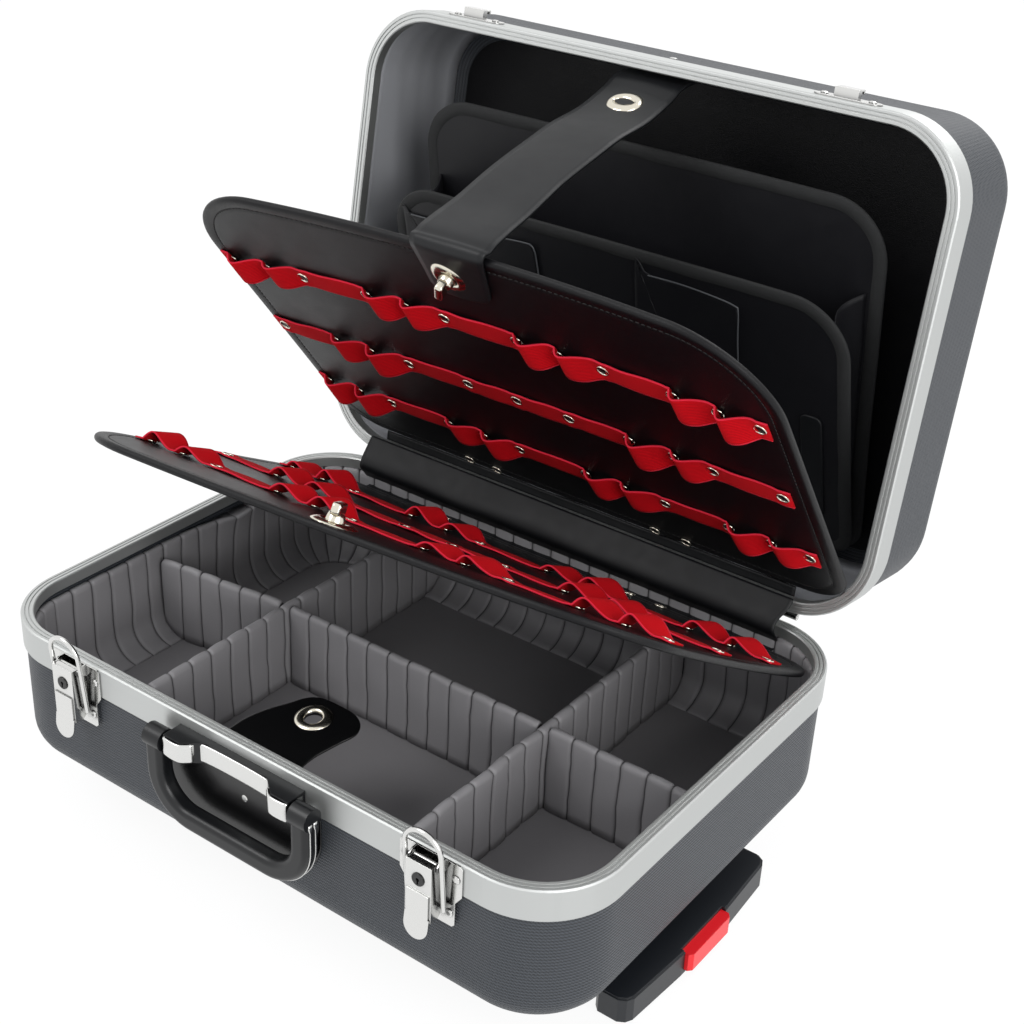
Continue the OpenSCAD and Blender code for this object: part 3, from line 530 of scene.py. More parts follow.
def tubShell(name, height, matrix, body, replaced):
    # tub with a 3 mm wall standing on z = 0: outer rows down, floor, inner rows up
    loop = roundLoop(case["length"], case["depth"], case["cornerRadius"], 5)
    start = int(np.argmin(np.abs(loop[0][:, 0]) - loop[0][:, 1]))
    outline, normals = np.roll(loop[0], -start, 0), np.roll(loop[1], -start, 0)
    outer, wall, edge = case["shellInset"], case["wall"], case["edgeRadius"]
    turn = np.radians(np.linspace(0, 90, 9))
    down = [(outer, z) for z in np.linspace(height, edge + 1, 6)]
    down += list(zip(outer + edge * (1 - np.cos(turn)), edge * (1 - np.sin(turn))))
    small = edge - wall
    up = list(zip(outer + wall + small * (1 - np.cos(turn)), wall + small * (1 - np.sin(turn))))
    up = up[::-1] + [(outer + wall, height)]
    shares = (0.8, 0.5, 0.15)
    rings = insetRings(outline, normals, down + up)
    split = len(down)
    floor = [rings[split - 1] * [s, s, 1] for s in shares]
    inside = [rings[split] * [s, s, 1] for s in shares[::-1]]
    grid = np.stack(rings[:split] + floor + inside + rings[split:])
    rows, columns = grid.shape[:2]
    faces = gridFaces(rows, columns, True, True).reshape(rows, columns, 4)
    gap = split + len(shares) - 1
    faces = np.delete(faces, gap, 0).reshape(-1, 4).tolist()
    faces += [list(range(gap * columns, (gap + 1) * columns)),
              list(range((gap + 1) * columns, (gap + 2) * columns))]
    uv = together(distances(outline)[None], distances(grid[:, 0])[:, None]) * 0.001
    flat = np.zeros((rows, columns))
    flat[split:split + 2 * len(shares)] = 1
    addPiece(name, place(grid, matrix), faces, "shell", body, replaced=replaced, uv=uv,
             seam=flat, around=loop[3] * 0.001)


baseUp = asArray(Matrix.Translation((0, 0, case["rim"] - case["baseHeight"])))
tubShell("baseTub", case["baseHeight"] - shells["baseShort"], baseUp, "case_base",
         ["base_shell"])
lidUp = asArray(Matrix.Translation((0, 0, case["lidHeight"]))) @ np.diag([1, 1, -1, 1])
tubShell("lidTub", case["lidHeight"] - shells["lidShort"], lidFrame @ lidUp, "lid",
         ["lid_shell"])
print("shells")

# padded liner and dividers
pads = {"pitch": 18.5, "swell": 1.7, "top": -14, "floor": -90, "cove": 22, "peel": 7,
        "peelY": 60, "peelWidth": 26, "back": 5.4, "front": 10.2, "lip": 2.7,
        "dividerTop": -22, "dividerThickness": 8}


def channels(total, pitch, closed, seed):
    # places along a quilted pad, dense at its seams, with swell (0 in a seam) and seam darkness
    draw = np.random.default_rng(seed)
    count = max(1, int(round(total / pitch)))
    share = np.array([0, 0.022, 0.045, 0.09, 0.18, 0.34, 0.5, 0.66, 0.82, 0.91, 0.955, 0.978])
    where = ((np.arange(count)[:, None] + share) * total / count).ravel()
    fraction = np.tile(share, count)
    lift = np.repeat(draw.uniform(0.8, 1.2, count), len(share))
    rise = np.repeat(draw.uniform(-1, 1, count), len(share))
    if not closed:
        where, fraction = np.append(where, total), np.append(fraction, 0)
        lift, rise = np.append(lift, lift[-1]), np.append(rise, rise[-1])
    nearest = np.minimum(fraction, 1 - fraction) * total / count
    swell = lift * (1 - np.exp(-(nearest / 1.1) ** 2)) * (0.84 + 0.16 * np.sin(np.pi * fraction))
    dark = np.exp(-(nearest / 0.55) ** 2)
    return where, swell, dark, rise * np.sin(np.pi * fraction)


def addWallLiner():
    loop = roundLoop(case["length"], case["depth"], case["cornerRadius"], 3)
    where, swell, dark, rise = channels(loop[3], pads["pitch"], True, 3)
    a = np.radians([180, 130, 90, 50, 15])
    back, front, lip, low, c = (pads[k] for k in ("back", "front", "lip", "floor", "cove"))
    half, top = (front - back) / 2, pads["top"] - lip
    # inset, height, swell inwards, swell upwards and whether the quilting reaches it
    rows = [(back, low - 1, 0, 0, 0), (back, top, 0, 0, 0)]
    rows += [(back + half + half * math.cos(t), top + lip * math.sin(t),
              max(0, math.cos(t)), math.sin(t), 0.35 + 0.65 * max(0, math.cos(t)))
             for t in a[1:]]
    rows += [(front, z, 1, 0, 1) for z in np.linspace(top - 2, low + c + 1, 10)]
    rows += [(front + c + c * math.cos(t), low + c + c * math.sin(t), -math.cos(t),
              -math.sin(t), 1) for t in np.radians(np.linspace(180, 268, 9))]
    rows += [(front + c + 1, low - 1, 0, 0, 0)]
    rows = np.array(rows)
    height = np.clip((rows[:, 1] - low) / (pads["top"] - low), 0, 1)
    quilted = rows[None, :, 4] > 0
    sway = 0.4 * ripple(where[:, None], rows[None, :, 1] * 2, 60, 5) * quilted
    at, way = alongLoop(loop, (where[:, None] + sway).ravel())
    at, way = at.reshape(*sway.shape, 2), way.reshape(*sway.shape, 2)
    puff = pads["swell"] * swell[:, None] * rows[None, :, 4]
    side = np.clip((-at[..., 0] - 225) / 20, 0, 1)
    peel = side * np.exp(-((at[..., 1] - pads["peelY"]) / pads["peelWidth"]) ** 2) \
        * height ** 3 * quilted
    inset = rows[None, :, 0] + puff * rows[None, :, 2] + pads["peel"] * peel \
        + 0.5 * ripple(at[..., 0], at[..., 1] + rows[None, :, 1], 90, 8) * quilted
    # behind the boards and at the right the pad reaches up to the frame's lip
    raised = 4 * np.clip(np.maximum((at[..., 1] - 110) / 30, (at[..., 0] - 205) / 25), 0, 1)
    z = rows[None, :, 1] + puff * rows[None, :, 3] + raised * height ** 4 \
        + (0.8 * rise[:, None] - 1.2 * dark[:, None] - 4 * peel) * height ** 6
    grid = np.concatenate([at - way * inset[..., None], z[..., None]], -1)
    liner = addPiece("wallLiner", place(grid, baseFrame), ringFaces(grid), "grey", "case_base",
                     replaced=["base_wall_liner"], seam=np.broadcast_to(dark[:, None], z.shape))


def addDivider(name, start, end, coves, seed, replaced=()):
    # a padded board on edge; its foot is rounded where it meets the cove of a wall
    start, end = np.array(start, float), np.array(end, float)
    along = end - start
    total = np.linalg.norm(along)
    along = along / total
    across = np.array([-along[1], along[0]])
    where, swell, dark, rise = channels(total, pads["pitch"], False, seed)
    half, top = pads["dividerThickness"] / 2, pads["dividerTop"]
    foot = np.zeros(len(where))
    c = pads["cove"]
    for reach, on in ((where, coves[0]), (total - where, coves[1])):
        near = np.clip(c - reach, 0, c - 0.01) * on
        foot = np.maximum(foot, c - np.sqrt(c ** 2 - near ** 2))
    share = np.linspace(0, 1, 9)[:-1]
    arc = np.radians([0, 30, 60, 90, 120, 150, 180])
    t = np.concatenate([np.full(8, 1.0), np.cos(arc), np.full(8, -1.0)])
    up = np.concatenate([np.zeros(8), np.sin(arc), np.zeros(8)])
    portion = np.concatenate([share, np.ones(7), share[::-1]])
    low = pads["floor"] + 0.4 + foot
    z = low[:, None] + (top - half - low[:, None]) * portion[None] + half * up[None]
    puff = pads["swell"] * 0.75 * (swell[:, None] - 0.75)
    side = (half - 0.5) * t[None] + puff * t[None] \
        + 0.5 * ripple(where[:, None], z, 70, seed) * np.abs(t)[None]
    z = z + (puff * up[None] + (0.9 * rise[:, None] - 0.7 * dark[:, None]) * up[None] ** 2)
    inside = ((where > 2) & (where < total - 2))[:, None]
    sway = 0.35 * ripple(where[:, None], z * 2, 60, seed + 1) * inside
    flat = start + (where[:, None] + sway)[..., None] * along + side[..., None] * across
    grid = np.concatenate([flat, z[..., None]], -1)
    pad = addPiece(name, place(grid, baseFrame), cappedFaces(grid), "grey", "case_base",
                   replaced=replaced, seam=np.broadcast_to(dark[:, None], z.shape))


skew = math.radians(7)
# start, end, which ends meet a rounded wall, seed and the node it stands for
dividers = {
    "longDividerRight": ((120, -170.3), (120, 170.3), (1, 1), 11, ["long_dividers"]),
    "longDividerLeft": ((-120, -170.3), (-120, 170.3), (1, 1), 12),
    "crossDividerMiddle": ((-115.6, -12), (115.6, -12), (0, 0), 13, ["cross_dividers"]),
    "crossDividerRight": ((124.4, -12), (243.2, -12), (0, 1), 14),
    "crossDividerLeft": ((-125.2, -12.4), (-125.2 - 115.5 * math.cos(skew),
                                           -12.4 - 115.5 * math.sin(skew)), (0, 1), 15)}
addWallLiner()
for name, row in dividers.items():
    addDivider(name, *row)
matSet = {"gap": 8, "middle": -91.8, "wave": 0.35}
loop = roundLoop(case["length"] - 2 * matSet["gap"], case["depth"] - 2 * matSet["gap"],
                 case["cornerRadius"] - matSet["gap"], 8)
grid, faces = plate(loop[0], loop[1], [(6, 1.5), (0.8, 1.5), (0, 0.8), (0, -0.8), (0.8, -1.5),
                                       (6, -1.5)])
grid[..., 2] += matSet["wave"] * ripple(grid[..., 0], grid[..., 1], 120, 21)
mat = addPiece("matSheet", place(grid + [0, 0, matSet["middle"]], baseFrame), faces, "mat",
               "case_base", replaced=["floor_mat"])
print("liner, dividers and mat")

# lid lining, board strips and hinge cover
lining = {"from": 10, "to": 105, "inset": 5.15, "thickness": 1.1, "wrinkle": 0.5}
loop = roundLoop(case["length"], case["depth"], case["cornerRadius"], 5)
heights = np.linspace(lining["from"], lining["to"], 15)
crease = lining["wrinkle"] * (1 + ripple(loop[2][:, None] * 0.5, heights[None, :] * 2.2, 70, 31))
# it turns in with the shell's rounded edge
bend = case["edgeRadius"] - case["wall"]
beyond = np.clip(heights - (case["lidHeight"] - case["edgeRadius"]), 0, bend)
follow = bend - np.sqrt(bend ** 2 - beyond ** 2)
middle = loop[0][:, None, :] - loop[1][:, None, :] * (
    lining["inset"] + lining["thickness"] / 2 + crease + follow)[..., None]
middle = together(middle[..., 0], middle[..., 1], heights[None])
away = np.concatenate([-loop[1], np.zeros((len(loop[1]), 1))], 1)[:, None]
grid, faces = ribbon(middle, lining["thickness"] / 2, away, True)
cloth = addPiece("lidLining", place(grid, lidFrame), faces, "lining", "lid",
                 replaced=["lid_side_lining"])


strips = {"half": 196, "thickness": 1.2, "wave": 0.25, "from": 165.3, "lowerTo": 171.3,
          "upperTo": 174.5}


def addHingeStrip(which, matrix, body, node, seed):
    # the cloth that a board turns on: a narrow strip from the board's edge to the wall
    y = np.linspace(strips["from"], strips[which + "To"], 5)
    z = hinges[which][1]
    x = np.linspace(-strips["half"], strips["half"], 99)
    x, across = x[:, None], y[None]
    grid = together(x, across, z + strips["wave"] * ripple(x, across, 40, seed))
    ring, faces = ribbon(grid, strips["thickness"] / 2)
    strip = addPiece(which + "HingeStrip", place(ring, matrix), faces, "cover", body,
                     replaced=[node])


coverSet = {"left": -200, "right": 200, "thickness": 1.2, "wave": 0.6}
knots = [(171, -12), (167, -7), (163, -2), (162, 2), (165, 8), (171, 15), (178, 23)]
profile = smoothPath(knots, 25)
along = np.linspace(0, 1, 121)[:, None]
share = np.linspace(0, 1, 25)[None, :]
right = coverSet["right"] - 3 + 5 * share + 1.6 * np.sin(share * 9)
x = coverSet["left"] + (right - coverSet["left"]) * along
hump = np.sin(np.pi * share)
y = profile[None, :, 0] + hump * coverSet["wave"] * ripple(x, share * 60, 150, 41)
z = profile[None, :, 1] + hump * 0.7 * coverSet["wave"] * ripple(x, share * 60, 110, 42)
grid = together(x, y, z)
ring, faces = ribbon(grid, coverSet["thickness"] / 2)
cover = addPiece("hingeCover", place(ring, baseFrame), faces, "cover",
                 replaced=["hinge_cover"])
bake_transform(cover)
run = distances(profile)[-1] / 1000
print("lining and hinge cover")

# tool boards
boards = {"width": 478, "depth": 319, "corner": 70, "hingeCorner": 40,
          "shift": {"upper": 4, "lower": 0}, "stitchPitch": 4.2, "stitchInset": 9.6,
          "stitchAt": 2.15}
# how far they bow out: in the middle, by the way across and by its square
bow = {"upper": (-8.8, -4.3, 12.8), "lower": (2.5, 9.9, 2.85), "lowerDrop": 1.6,
       "lowerSag": 1.2}
bands = {"width": 19, "thickness": 1.2, "rows": (66, 149, 236), "loopHeight": 11, "flat": 1.0,
         "bulge": 0.05, "tail": 7, "loopGap": 37}
sideRivets = [-224, -191, -157, -98, -63, -29, 33, 67, 103, 157, 191, 222]
midRivets = [-224, -172, -137, -100, -44, 0, 46, 97, 133, 165, 219]
boardParts = {"upper": (upperFrame, "upper_tool_board"),
              "lower": (lowerFrame, "lower_tool_board")}


def warp(which, u, v):
    # how far a point of a board stands out of its plane: the boards are bowed
    across, up = np.asarray(u) / 240, np.clip(np.asarray(v) / boards["depth"], 0, 1.1)
    middle, slope, curve = bow[which]
    lift = (middle + slope * across + curve * across ** 2) * up ** 1.5
    if which == "lower":
        lift = lift - bow["lowerDrop"] * np.clip(6 * up, 0, 1) \
            - bow["lowerSag"] * np.sin(np.pi * np.clip(up, 0, 1))
    return lift


def onBoard(which, points):
    bowed = points.copy()
    bowed[..., 2] += warp(which, points[..., 0], points[..., 1])
    return bowed


def addBoard(which):
    matrix, body = boardParts[which]
    loop = roundLoop(boards["width"], boards["depth"], boards["corner"], 6,
                     boards["hingeCorner"])
    half = [(14, 2.3), (10.6, 2.3), (9.6, 1.9), (8.6, 2.35), (6, 2.7), (3, 2.75), (1.2, 2.3),
            (0.2, 1.2)]
    profile = half + [(0, 0)] + [(i, -h) for i, h in half[::-1]]
    grid, faces = plate(loop[0], loop[1], profile, np.linspace(0.08, 0.92, 9))
    middle = np.array([boards["shift"][which], boards["depth"] / 2, 0])
    grid = onBoard(which, grid + middle)
    addPiece(which + "Board", place(grid, matrix), faces, "black", body,
             replaced=[which + "_board"])
    # stitches: small capsules lying along the groove, on both faces
    count = int((loop[3] - 60) / boards["stitchPitch"])
    where = np.arange(count) * loop[3] / count
    at, way = alongLoop(loop, where)
    ahead = np.stack([-way[:, 1], way[:, 0]], 1)
    at = at - way * boards["stitchInset"]
    a = np.linspace(0, 2 * np.pi, 6, endpoint=False)
    length = np.array([-1.45, -1.1, 1.1, 1.45])
    size = np.array([0.15, 0.5, 0.5, 0.15])
    shape = together(length[:, None], size[:, None] * np.cos(a), size[:, None] * np.sin(a))
    *sides, first, last = cappedFaces(shape)
    shape = shape.reshape(-1, 3)
    parts = []
    for side in (1, -1):
        flat = at[:, None] + shape[None, :, 0, None] * ahead[:, None] \
            + shape[None, :, 1, None] * way[:, None]
        z = side * (boards["stitchAt"] + shape[None, :, 2] * 0.9) + np.zeros((count, 1))
        parts.append(np.concatenate([flat, z[..., None]], -1).reshape(-1, 3))
    points = onBoard(which, np.concatenate(parts) + middle)
    starts = np.arange(2 * count) * len(shape)
    rows = (np.array(sides)[None] + starts[:, None, None]).reshape(-1, 4).tolist()
    for end in (first, last):
        rows += (np.array(end)[None] + starts[:, None]).tolist()
    addPiece(which + "Stitches", place(points, matrix), rows, "thread", body)


def bandShape(held, across, seed):
    # height of one elastic over the board, with the distance run along it: in each loop the
    # lower edge stands out further than the upper one, and the swell leans to the first rivet
    draw = np.random.default_rng(seed)
    w = (across[None] + 1) / 2
    along, up = [np.array([held[0] - bands["tail"]])], [0.3 + 0 * w]
    for start, end in zip(held[:-1], held[1:]):
        gap, t = end - start, np.linspace(0, 1, 33)[:-1, None]
        if gap <= bands["loopGap"]:
            peak = draw.uniform(0.38, 0.5) - 0.2 * w
            size = bands["loopHeight"] * draw.uniform(0.72, 1.14) * (1 - 0.3 * w)
            up.append(size * np.sin(np.pi * t ** (math.log(0.5) / np.log(peak)))
                      ** (1.5 + 1.3 * w))
            t = t - bands["bulge"] * np.sin(2 * np.pi * t)
        else:
            lift = bands["flat"] * draw.uniform(0.4, 1.3)
            up.append(lift * np.sin(np.pi * t) ** 0.7 * (1 + 0.5 * w * np.sin(t * 7)))
        along.append(start + gap * t[:, 0])
    along.append(np.array([held[-1], held[-1] + bands["tail"]]))
    up += [0 * w, 0.3 + 0 * w]
    along, up = np.concatenate(along), np.concatenate(up)
    middle = up[:, up.shape[1] // 2]
    run = np.append(0, np.cumsum(np.hypot(np.diff(along), np.diff(middle))))
    return along, up, run


def addBand(which, number, v, held, seed):
    matrix, body = boardParts[which]
    across = np.linspace(-1, 1, 11)
    along, up, run = bandShape(held, across, seed)
    half = bands["width"] / 2
    near = np.hypot(np.abs(along[:, None] - np.array(held)[None]).min(1), up[:, 5])
    cup = 1.1 * np.exp(-(near / 4.5) ** 2)[:, None] * across[None] ** 2
    n = 2.4 + bands["thickness"] / 2 + up + cup
    wander = 0.4 * ripple(run, 0 * run, 90, seed)[:, None]
    vv = v + half * across[None] - 0.22 * up + wander
    grid = together(along[:, None], vv, n)
    ring, faces = ribbon(grid, bands["thickness"] / 2)
    uv = together(run[:, None], half * across[None]) * 0.001
    uv = np.concatenate([uv, uv[:, ::-1]], 1)
    band = addPiece(f"{which}Band{number}", place(onBoard(which, ring), matrix), faces,
                    "elastic", body, replaced=[which + "_elastic_bands"], uv=uv)


rivets = {"bandUp": 3.7, "hingeUp": 2.8, "hingeV": 6, "hingeRow": (-104, -76, 76, 104)}


def addRivets(which):
    matrix, body = boardParts[which]
    spots = [(u, v) for v in (bands["rows"][0], bands["rows"][2]) for u in sideRivets]
    spots += [(u, bands["rows"][1]) for u in midRivets]
    head = turned([(3.9, 0.2), (4.1, 0.9), (4.5, 0.95), (4.9, 0.35), (4.9, -0.5), (3.9, -0.5)],
                  14, ring=True)
    # painted shade: a black disc sits in the middle of each rivet head, standing in for the dark
    # hole
    core = turned([(4.0, -0.4), (3.95, 0.3), (0.4, 0.35)], 12)
    spots = [(u, v, rivets["bandUp"]) for u, v in spots] \
        + [(u, rivets["hingeV"], rivets["hingeUp"]) for u in rivets["hingeRow"]]
    for name, shape, kind in (("BandRivets", head, "eyelet"), ("RivetShadeDiscs", core, "black")):
        points, faces = joinGrids([(shape[0] + [u, v, n], shape[1]) for u, v, n in spots])
        at = np.repeat(np.array(spots), shape[0].size // 3, 0)
        points[:, 2] += warp(which, at[:, 0], at[:, 1])
        addPiece(which + name, place(points, matrix), faces, kind, body,
                 replaced=[which + "_band_rivets"])


# each lock's height over its board and its size; the key stands across the strap's slot
locks = {"at": 293, "upper": (4.9, 1.06), "lower": (2.9, 1.22), "keyLength": 16,
         "keyDepth": 9, "keyCorner": 2.6, "keyTurn": 66, "keyUp": 10.2}


def addLock(which):
    matrix, body = boardParts[which]
    height, spread = locks[which]
    at = np.array([0, locks["at"], height + float(warp(which, 0, locks["at"]))])
    washer = turned([(6.2, 0.2), (7, 1.6), (8.6, 2.3), (10.4, 2.0), (12.4, 1.0), (13.4, 0.1),
                     (13.4, -0.6), (6.2, -0.6)], 48, ring=True)
    seat = turned([(6.4, -0.6), (6.4, 0.6), (3, 0.8), (0.6, 0.8)], 28)
    points, faces = joinGrids([washer, seat])
    points = points * [spread, spread, 1]
    addPiece(which + "LockPlate", place(points + at, matrix), faces, "eyelet", body,
             replaced=[which + "_lock_plate"])
    neck = turned([(5.7, 0.8), (5.7, 1.6), (5.0, 5.4), (4.6, 7.0), (3.6, 7.6), (0.4, 7.7)], 24)
    loop = roundLoop(locks["keyLength"], locks["keyDepth"], locks["keyCorner"], 1)
    key, faces = plate(loop[0], loop[1], [(1.3, 2.7), (0.4, 2.4), (0, 1.5), (0, -1.5),
                                          (0.4, -2.4), (1.3, -2.7)], (0.5,))
    turn = math.radians(locks["keyTurn"])
    x, y = key[..., 0], key[..., 2]
    key = np.stack([x * math.cos(turn) - y * math.sin(turn),
                    x * math.sin(turn) + y * math.cos(turn), key[..., 1] + locks["keyUp"]],
                   -1)
    points, faces = joinGrids([neck, (key, faces)])
    points = points * [spread, spread, 1]
    addPiece(which + "Knob", place(points + at, matrix), faces, "eyelet", which + "_knob",
             replaced=[which + "_turn_knob"])


for which in boardParts:
    addBoard(which)
    for number, v in enumerate(bands["rows"]):
        addBand(which, number + 1, v, midRivets if number == 1 else sideRivets,
                {"upper": 50, "lower": 60}[which] + number)
    addRivets(which)
addLock("upper")
addLock("lower")
addHingeStrip("lower", baseFrame, "case_base", "lower_board_strip", 43)
addHingeStrip("upper", lidFrame, "lid", "upper_board_strip", 44)
print("tool boards")

# strap from the lid to the upper board
strap = {"thickness": 1.9, "crown": 1.2, "left": (-24, -21), "right": (33, 34, 40, 28),
         "endRound": 9, "eyeletX": 5, "eyeletY": 212, "eyeletLift": 1.4, "holeLong": 7.5,
         "holeShort": 4.2, "eyeletRadius": 13.6}


free = [(268.8, 513), (243, 510), (228, 503.5), (198, 495), (163, 490.5), (134, 484),
        (107, 477.3), (80, 470), (54, 462.5), (30, 457), (18, 454)]
lying = np.array([(8, 322.5, -3.5), (8, 324.5, 0), (8, 321, 3.6), (8, 312, 3.9),
                  (8, 303, 3.8), (8, 293, 3.6), (8, 283, 3.7), (8, 273, 3.9)], float)
lying = place(onBoard("upper", lying), upperFrame)
path = smoothPath(free + lying[:, 1:].tolist(), 200)
# tangents of the strap's side view and normals on its upper side
tangent = unit(np.gradient(path, axis=0))
normal = np.stack([tangent[:, 1], -tangent[:, 0]], 1)
gone = distances(path)
share = gone / gone[-1]
endRound = strap["endRound"]
ends = np.minimum(gone[-1] - gone, endRound)
roundOff = endRound - np.sqrt(endRound ** 2 - (endRound - ends) ** 2)
left = np.interp(share, [0, 1], strap["left"]) + roundOff
right = np.interp(share, [0, 0.55, 0.82, 1], strap["right"]) - roundOff
across = np.linspace(-1, 1, 13)
x = (left + right)[:, None] / 2 + (right - left)[:, None] / 2 * across[None]
x = x + 0.5 * ripple(gone[:, None], across[None] * 30, 130, 71)
rise = strap["crown"] * (1 - across[None] ** 2) + 0.5 * ripple(gone[:, None], x, 120, 72) \
    * np.clip((1 - share[:, None]) * 4, 0, 1)
flat = path[:, None] + normal[:, None] * rise[..., None]
grid = np.concatenate([x[..., None], flat], -1)
away = np.concatenate([np.zeros((len(path), 1)), normal], 1)[:, None]
ring, faces = ribbon(grid, strap["thickness"] / 2, away)
strapPiece = addPiece("boardStrap", ring, faces, "strap", replaced=["board_strap"])
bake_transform(strapPiece)
# its eyelet is a ring from the slot's oval out to a circle, with a dark slot in it
spot = int(np.argmin(np.abs(path[:, 0] - strap["eyeletY"])))
axes = np.array([[1, 0, 0], [0, *tangent[spot]], [0, *normal[spot]]])
lift = strap["thickness"] / 2 + strap["eyeletLift"]
origin = np.array([strap["eyeletX"], *(path[spot] + normal[spot] * lift)])
a = np.linspace(0, 2 * np.pi, 48, endpoint=False)
circle = np.stack([np.cos(a), np.sin(a)], 1)
reach = np.array([0, 0.8, 2.6, 4.4, 6.2, 6.2, 0])[:, None, None] / 6.2
height = np.array([0.2, 1.7, 2.2, 1.7, 0.3, -0.5, -0.5])[:, None]
hole = circle * [strap["holeLong"], strap["holeShort"]]
mixed = hole + (circle * strap["eyeletRadius"] - hole) * reach
eyelet = together(mixed[..., 0], mixed[..., 1], height)
slot, slotFaces = turned([(1.0, -0.4), (1.0, 0.1), (0.1, 0.15)], 32)
slot = slot * [strap["holeLong"] + 0.2, strap["holeShort"] + 0.2, 1]
for name, points, faces, kind, nodes in (
        ("strapEyelet", eyelet, ringFaces(eyelet), "eyelet", ["strap_eyelet"]),
        ("strapSlot", slot, slotFaces, "dark", [])):
    piece = addPiece(name, origin + points @ axes, faces, kind, replaced=nodes)
    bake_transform(piece)
print("strap")

# closure flap
flapKnots = [(-38, 2), (-38, 25), (-33, 43), (-24.5, 60), (-19, 71), (-10, 77.5), (6, 78.5),
             (20, 77), (30, 71), (35, 61), (32, 48), (29.5, 38), (27, 25), (27, 2), (20, 1.2),
             (-5, 1.0), (-31, 1.2)]
flapSet = {"length": 78, "halfWidth": 36, "sag": 3, "curl": 1.2, "holeAt": 57,
           "holeRadius": 6.2, "half": 1.2}
hole = np.array([0, flapSet["holeAt"]], float)
outline = smoothPath(flapKnots[::-1], 120, True)
angle = np.arctan2(*(outline - hole).T[::-1])
rim = hole + flapSet["holeRadius"] * np.stack([np.cos(angle), np.sin(angle)], 1)
edge = [(2.2, 1.2), (0.9, 1.1), (0.2, 0.6), (0, 0), (0.2, -0.6), (0.9, -1.1), (2.2, -1.2)]
rings = insetRings(outline, outlineNormals(outline), edge)
reach = np.linspace(0, 1, 9)[:-1]
top, under = ([np.column_stack([rim + (rings[0][:, :2] - rim) * s, np.full(120, h)])
               for s in shares]
              for h, shares in ((flapSet["half"], reach), (-flapSet["half"], reach[::-1])))
grid = np.stack(top + rings + under)
grid[..., 2] += -flapSet["sag"] * (grid[..., 1] / flapSet["length"]) ** 2 \
    + flapSet["curl"] * (grid[..., 0] / flapSet["halfWidth"]) ** 2
flap = addPiece("closureFlap", place(grid, flapFrame), ringFaces(grid), "gloss", "flap",
                replaced=["closure_flap"])
washer, faces = turned([(6.2, 0.2), (7.2, 1.2), (9, 1.5), (11, 1.1), (13.5, 0),
                        (13.5, -0.6), (6.2, -0.6)], 48, ring=True)
washer = washer + [0, flapSet["holeAt"],
                   1.4 - flapSet["sag"] * (flapSet["holeAt"] / flapSet["length"]) ** 2]
addPiece("flapEyelet", place(washer, flapFrame), faces, "eyelet", "flap",
         replaced=["flap_eyelet"])
print("flap")

# wallets
wallets = {"width": 408, "rear": 288, "front": 233, "corner": 45, "hingeCorner": 20,
           "tape": 10, "thickness": 2.6, "bow": 1.5, "droop": 2.2, "wave": 0.7}
tab = {"width": 18, "height": 98, "corner": 6, "x": 173, "v": 83}


def walletBow(height, u, v):
    up = v / height
    droop = wallets["droop"] * up ** 3 * (1 - (2 * u / wallets["width"]) ** 2)
    return wallets["bow"] * np.sin(np.pi * up) - droop \
        + wallets["wave"] * ripple(u, v, 260, int(height))


def addWallet(which, height, matrix, body):
    t = wallets["thickness"] / 2
    loop = roundLoop(wallets["width"], height, wallets["corner"], 6, wallets["hingeCorner"])
    profile = [(wallets["tape"] - 1, t), (2, t), (0.8, t * 0.6), (0.6, 0), (0.8, -t * 0.6),
               (2, -t), (wallets["tape"] - 1, -t)]
    middle = np.array([0, height / 2, 0])

    def bowed(grid):
        grid = grid + middle
        grid[..., 2] += walletBow(height, grid[..., 0], grid[..., 1])
        return place(grid, matrix)

    grid, faces = plate(loop[0], loop[1], profile, np.linspace(0.08, 0.94, 8))
    panel = addPiece(which + "Wallet", bowed(grid), faces, "wallet", body,
                     replaced=["wallet_" + which])
    # bound edge: tape folded over the rim, with a slightly wandering inner edge
    tape = wallets["tape"]
    wander = 0.35 * ripple(loop[2], 0 * loop[2], 60, 81)
    rows = [(tape, t - 0.1, 1), (tape - 0.3, t + 0.35, 1), (tape / 2, t + 0.5, 0.5),
            (1, t + 0.35, 0), (0, t * 0.5, 0), (0, -t * 0.5, 0), (1, -t - 0.35, 0),
            (tape / 2, -t - 0.5, 0.5), (tape - 0.3, -t - 0.35, 1), (tape, -t + 0.1, 1)]
    grid = np.stack(insetRings(loop[0], loop[1],
                               [((i + k * wander)[:, None], h) for i, h, k in rows]))
    binding = addPiece(which + "WalletBinding", bowed(grid), ringFaces(grid), "tape", body)
    names = [binding.name]
    if which == "front":
        names += addPockets(bowed, t, body)


